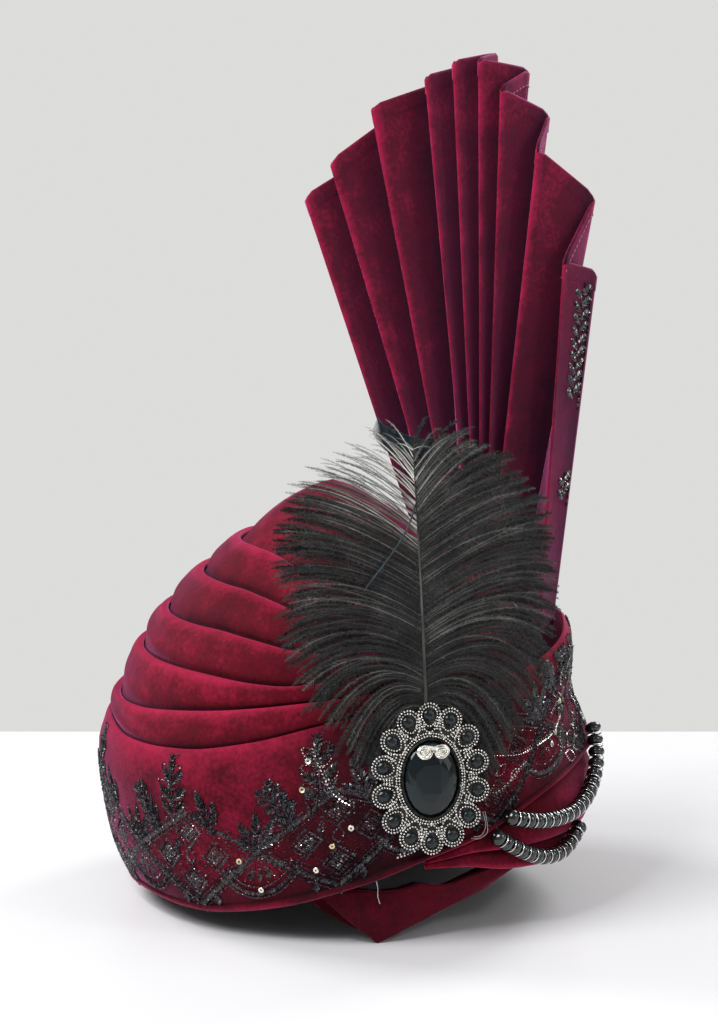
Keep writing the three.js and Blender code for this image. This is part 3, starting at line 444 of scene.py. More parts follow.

# The cap: layers of wound padding on a stiff hollow shell, lined with dark cloth painted near
# black, a painted shade inside the hollow. Its lining is made of gores sewn together, and its
# rim is bound.
HOLLOW_HALF = 85.0
HOLLOW_FRONT = 102.0
HOLLOW_BACK = 106.0
HOLLOW_TOP = 165.0
FULLNESS = 2.4
GORES = 8
PADDING_DEEP = -5.5
SEAM_DEEP = 1.2
SEAM_SHARP = 14
CAP_RIM = np.array((
    (-180, 0), (-115, 0), (-100, 0.04), (-82, 0.06), (-67, 0.055), (-53, 0.064), (-39, 0.09), (-28, 0.117),
    (-19, 0.15), (-10, 0.18), (1, 0.222), (11, 0.2), (20, 0.18), (37, 0.16), (60, 0.15), (90, 0.115),
    (105, 0.06), (120, 0), (180, 0)))

lining, tree, surface, place = shader("lining_cloth", 0.9, specular=0.05)
# Near-black lining: its own dark colour deepened into a painted shade.
colour = tones(tree, grain(tree, place, 30, 3), [(0.35, (0.004, 0.001, 0.002)), (0.7, (0.012, 0.003, 0.005))])
tree.links.new(colour, surface.inputs["Base Color"])
weave = tree.nodes.new("ShaderNodeTexWave")
weave.inputs["Scale"].default_value = 600
weave.inputs["Distortion"].default_value = 1.5
tree.links.new(place, weave.inputs["Vector"])
relief(tree, surface, weave.outputs["Fac"], 0.0003, 0.6)

at_cap = np.arange(-180, 180, 2.5)
rim = np.interp(at_cap, CAP_RIM[:, 0], CAP_RIM[:, 1])[:, None] * CROWN_TOP
share = np.array((0, 0.02, 0.08, 0.15, 0.25, 0.35, 0.45, 0.55, 0.65, 0.75, 0.83, 0.9, 0.95, 0.985, 1.0))
padding_out = winding(at_cap[:, None], rim + (CROWN_TOP - rim) * share, PADDING_DEEP)
angle = np.radians(at_cap)[:, None]
length = np.where(np.cos(angle) > 0, HOLLOW_FRONT, HOLLOW_BACK)
radius = 1 / np.hypot(np.sin(angle) / HOLLOW_HALF, np.cos(angle) / length)
narrow = (1 - share ** FULLNESS) ** (1 / FULLNESS)
gore = at_cap / (360 / GORES)
seam = SEAM_DEEP * np.exp(-((gore - np.round(gore)) * SEAM_SHARP) ** 2)[:, None]
inner_radius = narrow * (radius + seam * (share > 0.03))
padding_in = np.stack([inner_radius * np.sin(angle), -inner_radius * np.cos(angle),
                       rim + (HOLLOW_TOP - rim) * share * np.ones_like(angle)], -1)
cap = cloth_loops("cap_padding", np.concatenate([padding_out, padding_in[:, ::-1]], 1), True, lining)
stand_for(cap, "cap")

# The brow band: one embroidered length of the same velvet with a rolled hem. Over the wearer's
# left ear its upper edge stands off the crest as a collar that holds the fan's foot.
BAND_PROFILE = np.array((
    (0.0, -0.5), (0.008, 0.9), (0.025, 1.9), (0.045, 1.3), (0.058, 0.1), (0.09, 0.3), (0.25, 0.7),
    (0.45, 0.9), (0.7, 0.7), (0.86, LIP), (0.96, 0.5), (0.995, -0.3), (1.0, -1.0), (0.992, -2.0),
    (0.95, -OVER), (0.8, -OVER), (0.6, -PLY), (0.4, -PLY), (0.15, -OVER), (0.05, -OVER), (0.01, -2.2),
    (0.0, -0.5)))
# Painted light across the band's profile: painted shade in the crease above the hem roll, painted highlights
# on the hem roll and along the top edge.
BAND_SHADING = (0.7, 0.95, 0.7, 0.35, 0.05, 0.3, 0.5, 0.5, 0.52, 0.6, 0.85, 1, 0.9, 0.5, 0.2, 0.2, 0.2, 0.2, 0.2,
            0.2, 0.4)
# The painted shadow of the plume and brooch on the band: how much darker, where it centres and how wide it
# spreads, in degrees.
PLUME_SHADOW = 0.4
PLUME_SHADOW_AT = -9
PLUME_SHADOW_WIDE = 19


def on_band(at, height, offset):
    """A point of the band's surface: the winding with the collar's stand-off added."""
    at, height = np.asarray(at, float), np.asarray(height, float)
    hem, top = hem_line(at), band_top_line(at)
    share = np.clip(((height - hem) / (top - hem) - 0.3) / 0.8, 0, 1)
    stand = flare_line(at) / CROWN_TOP * COLLAR_FLARE * share * share * (3 - 2 * share)
    outwards = np.stack([np.sin(np.radians(at)), -np.cos(np.radians(at)), np.zeros_like(at)], -1)
    return winding(at, height, offset) + outwards * stand[..., None]


# The band's velvet is the maroon painted darker, a painted shade over the whole band.
embroidered = velvet("band_velvet", (0.012, 0.0004, 0.0024), (0.062, 0.0009, 0.0062), (0.26, 0.006, 0.033))
at_band = np.arange(-180, 180, 1.5)
profile = smooth_line(BAND_PROFILE, 3)[:-1]
hem, top = hem_line(at_band)[:, None], band_top_line(at_band)[:, None]
level = hem + (top - hem) * profile[:, 0]
facing_out = np.clip((profile[:, 1] + 1.5) / 1.5, 0, 1)
offset = profile[:, 1] + facing_out * 0.5 * ripple(at_band[:, None], level, 61, fine=1.2)
wide_at = np.broadcast_to(at_band[:, None], level.shape)
# Painted shade and highlight across the band, with the plume's painted shadow darkening its front.
band_shading = np.interp(np.arange(len(profile)), np.arange(0, len(profile), 3), BAND_SHADING)
plume_shadow = np.exp(-((at_band[:, None] - PLUME_SHADOW_AT) / PLUME_SHADOW_WIDE) ** 2)
band_shading = band_shading - PLUME_SHADOW * plume_shadow * facing_out
band = cloth_loops("band_cloth", on_band(wide_at, level, offset), True, embroidered, band_shading)
stand_for(band, "brow_band")

# The tucked end: the last of the velvet, folded lengthwise and hung as a sling under the brow,
# with its raw end open at the wearer's right.
SLING = np.array((
    # top at, drop, foot at, foot, back at, back drop, open
    (-25, 0, -10.5, 0, -32, 0, 1), (-14, 0.034, -7, 0.011, -20, 0.02, 0.9),
    (-5, 0.068, -1, 0.034, -6, 0.075, 0.7), (6, 0.077, 6, 0.058, 6, 0.085, 0.5),
    (14, 0.047, 14, 0.081, 14, 0.052, 0.4),
    (23, 0.014, 22, 0.099, 22, 0.016, 0.35), (30, 0, 29, 0.125, 29, 0, 0.3)))
SLING_TOE = 0.85 * FRONT_REACH
SLING_TOP = 0.885 * FRONT_REACH
SLING_OPEN = 18.0
RIM_CLEAR = 0.9
# The tucked end is painted darker all over, a painted shade under the brow.
TAIL_SHADING = 0.3


def around(at, radius, z):
    """Points at a radius from the upright axis; degrees from the front and millimetres."""
    at = np.radians(at)
    return np.stack([radius * np.sin(at), -radius * np.cos(at), z * np.ones_like(at)], -1)


row = smooth_line(SLING, 6)
rim_front, rim_back = (
    (np.interp(row[:, i], CAP_RIM[:, 0], CAP_RIM[:, 1]) - row[:, i + 1]) * CROWN_TOP - RIM_CLEAR
    for i in (0, 4))
middle_at = 0.5 * (row[:, 0] + row[:, 2])
heel_at = 0.5 * (row[:, 4] + row[:, 2])
opened = SLING_OPEN * row[:, 6]
heel = SLING_TOE - np.maximum(5, 0.3 * opened)
foot = np.maximum(0, row[:, 3] * CROWN_TOP)
middle = 0.5 * (rim_front + foot)
sag = 1.6 * np.sin(np.linspace(0, math.pi, len(row)) * 2.5)
keys = np.array([
    around(row[:, 0], SLING_TOP, rim_front), around(middle_at, SLING_TOP - 1 + sag, middle),
    around(row[:, 2], SLING_TOE, foot + 1.2), around(row[:, 2], SLING_TOE - 1.6, foot + 0.5),
    around(row[:, 2], heel + 1.2, foot + 0.5), around(row[:, 2], heel - 0.2, foot + 1.3),
    around(heel_at, 0.5 * (heel + SLING_TOP - opened - 2), 0.5 * (rim_back + foot)),
    around(row[:, 4], SLING_TOP - opened - 2, rim_back)])
outer = smooth_line(keys, 5).transpose(1, 0, 2)
inward = np.array([
    around(row[:, 0], SLING_TOP - 2, rim_front), around(middle_at, SLING_TOP - 3 + sag, middle + 0.3),
    around(row[:, 2], SLING_TOE - 2, foot + 2.4), around(row[:, 2], SLING_TOE - 2.6, foot + 2),
    around(row[:, 2], heel + 1.6, foot + 2), around(row[:, 2], heel + 1.2, foot + 2.6),
    around(heel_at, 0.5 * (heel + SLING_TOP - opened) + 1, 0.5 * (rim_back + foot)),
    around(row[:, 4], SLING_TOP - opened, rim_back)])
inner = smooth_line(inward, 5).transpose(1, 0, 2)
tail = cloth_loops("tucked_tail", np.concatenate([outer, inner[:, ::-1]], 1), False, maroon, TAIL_SHADING)
stand_for(tail, "tucked_end")

# The fan: a straight length of stiffened velvet pleated like an accordion, pinched together low
# down where the collar holds it, with a narrow turned hem sewn along its top edge.
FAN_HEIGHT = 320.0
FAN_FOOT = 150.0
FAN_SPREAD = 162.0
FAN_LEFT = -22.4
FAN_TURN = math.radians(18)
FAN_PINCH = 39.0
PLEAT_TOP = 24.0
PLEAT_FOOT = 16.0
FOOT_CLEAR = 1.8
HEM_DEPTH = 9.0
HALF_CLOTH = 0.5
HEM_SWELL = 0.45
CORNER_DROP = 3.2
CORNER_WIDE = 0.16
RIDGE_WIDE = 0.06
VALLEY_WIDE = 0.3
PLEATS = np.array((
    # side, across, height, pinch
    (-1, 0.0, 0.756, 0.406), (1, 0.169, 0.808, 0.446), (-1, 0.085, 0.815, 0.489), (1, 0.282, 0.887, 0.509),
    (-1, 0.223, 0.908, 0.523), (1, 0.446, 0.947, 0.549), (-1, 0.405, 0.959, 0.566), (1, 0.547, 0.978, 0.583),
    (-1, 0.497, 0.984, 0.585), (1, 0.656, 1.0, 0.601), (-1, 0.583, 0.988, 0.602), (1, 0.766, 0.972, 0.619),
    (-1, 0.657, 0.939, 0.62), (1, 0.834, 0.897, 0.638), (-1, 0.783, 0.8375, 0.641), (1, 0.994, 0.754, 0.77),
    (-1, 0.874, 0.644, 0.819), (1, 1.0, 0.624, 0.885)))


def crest_height(x, y):
    """The height at which the winding's mean surface passes over a point."""
    low, high = 0.0, CROWN_TOP
    for _ in range(30):
        level = (low + high) / 2
        lean = CREST_LEAN * (level / CROWN_TOP) ** 2
        on = winding(math.degrees(math.atan2(x + lean, -y)), level, 0.0)
        if math.hypot(on[0] + lean, on[1]) > math.hypot(x + lean, y):
            low = level
        else:
            high = level
    return low


def fan_place(across, depth, z):
    """A point of the fan, turned about the upright line through the middle of the turban."""
    return np.stack([across * math.cos(FAN_TURN) + depth * math.sin(FAN_TURN),
                     -across * math.sin(FAN_TURN) + depth * math.cos(FAN_TURN), z], -1)


def crease_foot(side, across_top, tall, pinch):
    """Where a crease, drawn down through the pinch, comes to rest just over the crest."""
    def across_at(level):
        share = (level - FAN_FOOT - FAN_PINCH) / (tall * FAN_HEIGHT - FAN_PINCH)
        return FAN_LEFT + FAN_SPREAD * (pinch + (across_top - pinch) * share)

    level = FAN_FOOT + FAN_PINCH
    for _ in range(12):
        spot = fan_place(across_at(level), 0.5 * side * PLEAT_FOOT, 0.0)
        level = (level + max(FAN_FOOT, crest_height(spot[0], spot[1]) + FOOT_CLEAR)) / 2
    return across_at(level), level


feet = np.array([crease_foot(*crease) for crease in PLEATS])
ACROSS_FACE = np.array((0.0, 0.05, 0.14, 0.3, 0.5, 0.7, 0.86, 0.95))
order = np.arange(len(PLEATS) - 1)
column = np.concatenate([(order[:, None] + ACROSS_FACE).ravel(), [len(PLEATS) - 1.0]])
level = np.concatenate([np.linspace(0, 0.93, 34), np.linspace(0.935, 1, 18)])[:, None]


def along_creases(values):
    """A value known at each crease, spread over the columns of the fan."""
    return np.interp(column, np.arange(len(PLEATS)), values)


within = column - np.floor(column)
near_crease = np.minimum(within, 1 - within)
corner = np.clip(1 - near_crease / CORNER_WIDE, 0, 1) ** 2
top_z = FAN_FOOT + FAN_HEIGHT * along_creases(PLEATS[:, 2]) - CORNER_DROP * corner
foot_z = along_creases(feet[:, 1])
across_top = FAN_LEFT + FAN_SPREAD * along_creases(PLEATS[:, 1])
across_mid = along_creases(feet[:, 0]) * (1 - level) + across_top * level
depth_mid = 0.5 * along_creases(PLEATS[:, 0]) * (PLEAT_FOOT * (1 - level) + PLEAT_TOP * level)
bow = np.sin(math.pi * within) * np.sin(math.pi * level ** 0.8)
face_number = order[np.minimum(column.astype(int), len(order) - 1)]
depth_mid = depth_mid + 0.7 * bow * np.where(face_number % 2, -1, 1)
z_mid = foot_z * (1 - level) + top_z * level
wander = ripple(column * 16 * np.ones_like(level), level * 40, 71, fine=0.8)
fan_mid = fan_place(across_mid, depth_mid + 0.8 * wander * level, z_mid)
along = np.gradient(fan_mid, axis=1)
upward = np.gradient(fan_mid, axis=0)
normal = np.cross(upward, along)
normal /= np.linalg.norm(normal, axis=2, keepdims=True)
below_top = (1 - level) * (top_z - foot_z)
half_thick = HALF_CLOTH + HEM_SWELL * np.clip((HEM_DEPTH - below_top) / 0.8, 0, 1)
half_thick = half_thick * np.clip(0.35 + below_top / 1.2, 0, 1)
edge_side = np.where(within < 0.5, np.floor(column), np.ceil(column)).astype(int)
faces_front = PLEATS[np.minimum(edge_side, len(PLEATS) - 1), 0] < 0
# Painted light on the fan: painted highlights along the ridges and the top hem, painted shade in the valleys
# and darker towards the foot.
brushing_and_ridge_highlight = 0.5 * np.exp(-(near_crease / RIDGE_WIDE) ** 2)
valley_shade = -0.6 * np.exp(-(near_crease / VALLEY_WIDE) ** 2)
height_shading = 0.5 + 0.12 * np.clip(1 - below_top / 7, 0, 1) - 0.3 * (1 - level) ** 1.5
shading_front = height_shading + np.where(faces_front, brushing_and_ridge_highlight, valley_shade)
shading_rear = height_shading + np.where(faces_front, valley_shade, brushing_and_ridge_highlight)
front = fan_mid - normal * half_thick[..., None]
rear = fan_mid + normal * half_thick[..., None]
stiffened = velvet("stiffened_velvet", (0.011, 0.0007, 0.003), (0.072, 0.0018, 0.0095), (0.32, 0.008, 0.046),
                   bloom=0.85, haze=0.46)
fan = cloth_loops("fan_velvet", np.concatenate([front, rear[::-1]], 0).transpose(1, 0, 2), False, stiffened,
                  np.concatenate([shading_front, shading_rear[::-1]], 0).T)
stand_for(fan, "fan")

# The hem stitches along the fan's top edge: one row of small hand stitches in pink thread, that
# show on the rear of every pleat only.
STITCH_EVERY = 3.4
STITCH_SIZE = (2.2, 1.0, 0.9)
STITCH_LIFT = 0.15


def rule(name, **inputs):
    """An empty group of nodes with named inputs, that puts out one piece."""
    tree = bpy.data.node_groups.new(name, "GeometryNodeTree")
    for label, kind in inputs.items():
        tree.interface.new_socket(label, in_out="INPUT", socket_type="NodeSocket" + kind)
    tree.interface.new_socket("Piece", in_out="OUTPUT", socket_type="NodeSocketGeometry")
    return tree, tree.nodes.new("NodeGroupInput")


def sew(name, form, points, along, facing, size, material, slot, tone=0.5):
    """Sews copies of a small form at points, its X along and Z facing; sizes in millimetres."""
    carrier = bpy.data.meshes.new(name)
    carrier.from_pydata(to_metres(points).tolist(), [], [])
    for label, values in (("along", along), ("facing", facing), ("size", np.asarray(size) * 0.001),
                          ("tone", np.broadcast_to(tone, len(points)))):
        mark(carrier, label, values)
    tree, given = rule(name, Points="Geometry", Form="Object", Size="Float", Finish="Material")
    nodes, link = tree.nodes, tree.links.new
    read = {}
    for label in ("along", "facing", "size"):
        read[label] = nodes.new("GeometryNodeInputNamedAttribute")
        read[label].data_type = "FLOAT_VECTOR"
        read[label].inputs["Name"].default_value = label
    turn = nodes.new("FunctionNodeAxesToRotation")
    turn.primary_axis, turn.secondary_axis = "Z", "X"
    link(read["facing"].outputs["Attribute"], turn.inputs["Primary Axis"])
    link(read["along"].outputs["Attribute"], turn.inputs["Secondary Axis"])
    scale = nodes.new("ShaderNodeVectorMath")
    scale.operation = "SCALE"
    link(read["size"].outputs["Attribute"], scale.inputs[0])
    link(given.outputs["Size"], scale.inputs["Scale"])
    form_info = nodes.new("GeometryNodeObjectInfo")
    copies = nodes.new("GeometryNodeInstanceOnPoints")
    link(given.outputs["Form"], form_info.inputs["Object"])
    link(given.outputs["Points"], copies.inputs["Points"])
    link(form_info.outputs["Geometry"], copies.inputs["Instance"])
    link(turn.outputs["Rotation"], copies.inputs["Rotation"])
    link(scale.outputs["Vector"], copies.inputs["Scale"])
    return bake(show(name, carrier), tree, given, copies.outputs["Instances"], slot,
                Form=form, Size=1.0, Finish=material)


def bake(piece, tree, given, shape, slot, **values):
    """Ends a rule with its finish, and turns the piece it draws into a plain mesh."""
    real = tree.nodes.new("GeometryNodeRealizeInstances")
    finish = tree.nodes.new("GeometryNodeSetMaterial")
    made = tree.nodes.new("NodeGroupOutput")
    tree.links.new(shape, real.inputs["Geometry"])
    tree.links.new(real.outputs["Geometry"], finish.inputs["Geometry"])
    tree.links.new(given.outputs["Finish"], finish.inputs["Material"])
    tree.links.new(finish.outputs["Geometry"], made.inputs["Piece"])
    modifier = piece.modifiers.new("rule", "NODES")
    modifier.node_group = tree
    for socket in tree.interface.items_tree:
        if socket.name in values:
            modifier[socket.identifier] = values[socket.name]
    drawn = piece.evaluated_get(bpy.context.evaluated_depsgraph_get())
    mesh = bpy.data.meshes.new_from_object(drawn)
    for label in ("along", "facing", "size", "thick"):
        if label in mesh.attributes:
            mesh.attributes.remove(mesh.attributes[label])
    piece.modifiers.clear()
    piece.data = mesh
    bpy.data.node_groups.remove(tree)
    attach(piece, "root")
    return piece


def turn_outward(mesh, smooth=False, up=False):
    """Turns a mesh's faces outward, or upward where it is an open sheet."""
    shape = bmesh.new()
    shape.from_mesh(mesh)
    bmesh.ops.recalc_face_normals(shape, faces=shape.faces)
    if up and sum(face.normal.z for face in shape.faces) < 0:
        bmesh.ops.reverse_faces(shape, faces=shape.faces)
    for face in shape.faces:
        face.smooth = smooth
    shape.to_mesh(mesh)
    shape.free()


def small_form(name, rings, sides, smooth=False):
    """A small turned form along X, unit sized: rings of (x, radius), pointed where radius is 0."""
    points, faces, rows = [], [], []
    for x, radius in rings:
        count = 1 if radius == 0 else sides
        rows.append(list(range(len(points), len(points) + count)))
        points += [(x, radius * math.cos(a), radius * math.sin(a))
                   for a in (2 * math.pi * k / count for k in range(count))]
    for a, b in zip(rows[:-1], rows[1:]):
        for k in range(sides):
            n = (k + 1) % sides
            if len(a) == 1:
                faces.append((a[0], b[n], b[k]))
            elif len(b) == 1:
                faces.append((a[k], a[n], b[0]))
            else:
                faces.append((a[k], a[n], b[n], b[k]))
    mesh = bpy.data.meshes.new(name)
    mesh.from_pydata(points, [], faces)
    turn_outward(mesh, smooth)
    return bpy.data.objects.new(name, mesh)


def grained(name, roughness, colour, stops, bump, distance, strength, metallic=0.0, specular=0.5):
    """A finish with tones along one grain and relief from another: (scale, detail, stretch)."""
    material, tree, surface, place = shader(name, roughness, metallic, specular)
    tree.links.new(tones(tree, grain(tree, place, *colour), stops), surface.inputs["Base Color"])
    relief(tree, surface, grain(tree, place, *bump), distance, strength)
    return material


def run_of(points):
    """How far along a line each of its points lies."""
    return np.concatenate([[0], np.cumsum(np.linalg.norm(np.diff(points, axis=0), axis=1))])


def on_run(s, run, line):
    """The points that lie the lengths s along a line."""
    return np.stack([np.interp(s, run, line[:, axis]) for axis in range(3)], -1)


stitch = small_form("stitch", ((-0.5, 0), (-0.3, 0.42), (0.3, 0.42), (0.5, 0)), 4)

pink_thread = grained("pink_thread", 0.5, (900, 1), [(0.3, (0.3, 0.06, 0.12)), (0.7, (0.52, 0.15, 0.24))],
                      (2500, 1), 0.0002, 0.5, specular=0.4)

spots, ways, outs = [], [], []
for face in range(len(PLEATS) - 1):
    columns = np.flatnonzero((column >= face) & (column <= face + 1))
    rows = np.arange(len(level))
    below = [np.interp(HEM_DEPTH - 1.2, below_top[::-1, c], rows[::-1]) for c in columns]
    line = np.array([[np.interp(b, rows, rear[:, c, axis]) for axis in range(3)]
                     for b, c in zip(below, columns)])
    run = run_of(line)
    at = np.arange(1.6, run[-1] - 1, STITCH_EVERY)
    if len(at) == 0:
        continue
    way = (line[-1] - line[0]) / np.linalg.norm(line[-1] - line[0])
    out = normal[-8, columns[len(columns) // 2]]
    spots.append(on_run(at, run, line) + out * STITCH_LIFT)
    ways.append(np.tile(way, (len(at), 1)))
    outs.append(np.tile(out, (len(at), 1)))
spots, ways, outs = (np.concatenate(part) for part in (spots, ways, outs))
sew("fan_hem_stitches", stitch, spots, ways, outs, np.tile(STITCH_SIZE, (len(spots), 1)), pink_thread,
    "velvet")

# The embroidery on the band: black thread and small dark beads sewn in stitch by stitch. One
# figure repeats round the band: a half wheel, crossing bands with lozenges, and leafy sprigs.
FIGURE_EVERY = 36.0
FIRST_FIGURE = -37.3
MM_PER_DEGREE = 2.4
TOP_MARGIN = 3
STITCH_SHIFT = 0.18
STITCH_TURN = 0.16
STITCH_TILT = 0.28
SILVER_SHARE = 0.035
BEAD_SHARE = 0.4
draw = np.random.default_rng(5)


class Needle:
    """Collects stitches on the band: places, directions and sizes."""

    def __init__(self):
        self.rows = []

    def stitch(self, u, v, angle, length, width, lift=0.35):
        self.rows.append((u, v, angle, length, width, lift))

    def line(self, points, every, length, width, lean=0.0, curve=True):
        points = np.asarray(points, float)
        fine = smooth_line(points, 10) if curve and len(points) > 2 else smooth_line(points, 2)
        run = run_of(fine)
        for s in np.arange(every / 2, run[-1], every):
            u, v = np.interp(s, run, fine[:, 0]), np.interp(s, run, fine[:, 1])
            ahead, behind = min(s + 0.6, run[-1]), max(s - 0.6, 0)
            a, b = (np.interp(ahead, run, fine[:, i]) - np.interp(behind, run, fine[:, i]) for i in (0, 1))
            self.stitch(u, v, math.atan2(b, a) + lean, length, width)

    def leaf(self, base, tip, width, every=1.0):
        base, tip = np.asarray(base, float), np.asarray(tip, float)
        run = np.linalg.norm(tip - base)
        way = math.atan2(*(tip - base)[::-1])
        for s in np.arange(0.05, 0.98, every / run):
            half = 0.5 * width * math.sin(math.pi * s ** 0.8) + 0.4
            spot = base + (tip - base) * s
            for hand in (1, -1):
                angle = way + hand * math.radians(48)
                self.stitch(spot[0] + 0.5 * half * math.cos(angle), spot[1] + 0.5 * half * math.sin(angle),
                            angle, half * 1.25, 0.95)
        self.line([base, tip], 1.5, 1.9, 0.8)

    def lozenge(self, u, v, wide, tall):
        corners = [(u, v + tall), (u + wide, v), (u, v - tall), (u - wide, v), (u, v + tall)]
        for a, b in zip(corners[:-1], corners[1:]):
            self.line([a, b], 0.85, 2.3, 0.9, lean=math.radians(70), curve=False)
        for s in np.linspace(-0.62, 0.62, 7):
            ends = [(u + wide * (0.5 * s - hand), v + tall * (0.5 * s + hand)) for hand in (0.34, -0.34)]
            self.line(ends, 1.3, 1.9, 1.1, curve=False)


figure = Needle()
for points in ([(0, 34), (-22, 46), (-43, 57)], [(-43, 57), (-64, 46), (-86, 34)],
               [(0, 34), (-20, 20), (-43, 5)], [(-43, 5), (-66, 20), (-86, 34)]):
    points = np.array(points)
    figure.line(points, 0.62, 4.6, 1.15, lean=math.radians(62))
    figure.line(points, 0.9, 4.2, 0.9, lean=math.radians(-55))
    for aside in (-3.4, 3.4):
        figure.line(points + (0, aside), 1.25, 1.7, 0.95)
for k in range(1, 10):
    s = k / 10
    if abs(s - 0.5) < 0.06:
        continue
    figure.line([(-43 * s, 34 + 23 * s), (-43 - 43 * s, 5 + 29 * s)], 1.9, 1.7, 0.55)
    figure.line([(-43 * s, 34 - 29 * s), (-43 - 43 * s, 57 - 23 * s)], 2.3, 1.7, 0.5)
wheel = [(24 * math.cos(a), 34 + 24 * math.sin(a)) for a in np.radians(np.linspace(-158, -22, 12))]
figure.line(wheel, 0.55, 3.6, 1.1, lean=math.radians(75))
figure.line([(0.84 * u, 34 + 0.84 * (v - 34)) for u, v in wheel], 1.0, 1.4, 1.0)
figure.line([(1.1 * u, 34 + 1.1 * (v - 34)) for u, v in wheel], 1.0, 1.4, 0.9)
for spoke in (-150, -135, -120, -105, -90, -75, -60, -45, -30):
    a = math.radians(spoke)
    figure.line([(r * math.cos(a), 34 + r * math.sin(a)) for r in (2, 19)], 1.2, 1.5, 0.65)
for spoke in (-112, -68, -142, -38, -90):
    a = math.radians(spoke)
    figure.leaf(*((r * math.cos(a), 34 + r * math.sin(a)) for r in (9, 17)), 4.2, 1.3)
for u, v in ((-43, 46), (-60, 33), (-26, 33), (-43, 19)):
    figure.lozenge(u, v, 8.4, 8.0)
figure.line([(-43, 29), (-40, 33), (-43, 37), (-46, 33), (-43, 29)], 0.8, 1.6, 1.1)
figure.line([(-51, 55), (-52, 66), (-53, 80)], 0.8, 1.8, 1.3)
for v, reach in ((58, 8.5), (66, 9.5), (75, 7)):
    for hand in (-1, 1):
        figure.leaf((-52, v - 3), (-52 + hand * reach, v + 4.5), 6.8, 0.8)
for base, tip, width, every in (
        ((-53, 75), (-53.5, 88), 7, 0.8), ((-25, 43), (-36, 70), 10, 0.7), ((-27, 48), (-39, 58), 6.5, 0.8),
        ((-24, 50), (-25, 64), 6, 0.8), ((-64, 44), (-71, 62), 7.5, 0.8), ((-66, 42), (-78, 52), 5.5, 0.8)):
    figure.leaf(base, tip, width, every)
for angle, reach in ((90, 20), (125, 18), (55, 18), (158, 14), (22, 14)):
    a = math.radians(angle)
    figure.leaf((0, 35), (reach * math.cos(a), 36 + reach * math.sin(a)), 8, 0.75)
figure.leaf((24, 42), (4, 69), 9.5, 0.7)
for s, out in ((0.25, 9), (0.45, 10), (0.65, 9.5), (0.85, 7)):
    u, v = 24 - 20 * s, 44 + 24 * s
    figure.leaf((u, v), (u - out, v + 1), 6, 0.8)
    figure.leaf((u, v), (u + 1, v + out), 6, 0.8)
figure.line([(30, 46), (33, 56), (32, 68), (33, 84)], 1.0, 1.8, 1.0)
for u, v, reach in ((33, 52, 6), (33, 60, 8), (32, 69, 8), (32.6, 77, 7)):
    for hand in (-1, 1):
        figure.line([(u, v), (u + hand * reach * 0.7, v + 1), (u + hand * reach, v + 4.8),
                     (u + hand * 2, v + 4), (u, v)], 1.0, 1.5, 0.85)
figure.line([(33, 84), (29.5, 88), (33, 93), (36.5, 88), (33, 84)], 1.0, 1.5, 0.85)
for base in ((-43, 7), (-31, 12), (-56, 12), (28, 26), (34, 34)):
    figure.leaf(base, (base[0] + 1, base[1] - 7 if base[0] < 0 else base[1] + 9), 5, 0.9)

rows = np.array(figure.rows)
figures = np.arange(FIRST_FIGURE - 4 * FIGURE_EVERY, 180, FIGURE_EVERY)
at = np.concatenate([start + rows[:, 0] / MM_PER_DEGREE for start in figures])
at = (at + 180) % 360 - 180
up, angle, run, wide, lift = (np.tile(rows[:, i], len(figures)) for i in range(1, 6))
jitter = draw.normal(0, 1, (len(at), 6))
height = hem_line(at) + up
kept = height < band_top_line(at) - TOP_MARGIN
at, height, angle, run, wide, lift, jitter = (
    part[kept] for part in (at, height, angle, run, wide, lift, jitter))
height = height + STITCH_SHIFT * jitter[:, 1]
angle = angle + STITCH_TURN * jitter[:, 2]


def surface_frame(place, u, v, step_u, step_v, angle):
    """Places, directions and normals of stitches on the surface that `place` gives."""
    spot = place(u, v)
    east, north = place(u + step_u, v) - spot, place(u, v + step_v) - spot
    east /= np.linalg.norm(east, axis=1, keepdims=True)
    north /= np.linalg.norm(north, axis=1, keepdims=True)
    along = east * np.cos(angle)[:, None] + north * np.sin(angle)[:, None]
    return spot, along, np.cross(east, north)


def sewn_frame(at, height, lift, angle):
    """The same on the band, lifted off its surface."""
    return surface_frame(lambda u, v: on_band(u, v, LIP + lift), at, height, 0.25, 0.6, angle)


spot, along, out = sewn_frame(at, height, lift, angle)
tilt = out + STITCH_TILT * (jitter[:, 3:4] * along + jitter[:, 4:5] * np.cross(out, along))
size = np.stack([run * (1 + 0.12 * jitter[:, 5]), wide, np.full(len(wide), 1.25)], -1)
bright = draw.random(len(at)) < SILVER_SHARE

black_thread, tree, surface, place = shader("black_thread", 0.4, specular=0.55)
colour = tones(tree, grain(tree, place, 700, 2), [
    (0.35, (0.006, 0.005, 0.008)), (0.55, (0.02, 0.017, 0.024)), (0.75, (0.06, 0.055, 0.065))])
tree.links.new(colour, surface.inputs["Base Color"])
tree.links.new(tones(tree, grain(tree, place, 400, 1), [(0.3, (0.25,) * 3), (0.7, (0.6,) * 3)]),
               surface.inputs["Roughness"])
relief(tree, surface, grain(tree, place, 3000, 1), 0.0002, 0.5)
black_glass = grained("black_glass", 0.16, (700, 1), [(0.35, (0.004, 0.004, 0.006)),
                      (0.7, (0.03, 0.03, 0.036))], (2400, 1), 0.0002, 0.3, specular=0.8)
silver = grained("silver_beads", 0.24, (500, 2), [(0.35, (0.4, 0.39, 0.37)), (0.65, (0.95, 0.94, 0.91))],
                 (1500, 1), 0.0001, 0.4, metallic=0.8)

knot = small_form("knot", ((-0.5, 0), (0, 0.55), (0.5, 0)), 3)
beaded = ~bright & (draw.random(len(at)) < BEAD_SHARE)
threaded = ~bright & ~beaded
sew("band_embroidery", knot, spot[threaded], along[threaded], tilt[threaded], size[threaded], black_thread,
    "embroidered_velvet")
sew("band_jet_beads", knot, spot[beaded], along[beaded], tilt[beaded], size[beaded] * (0.8, 1.2, 1.3),
    black_glass, "embroidered_velvet")

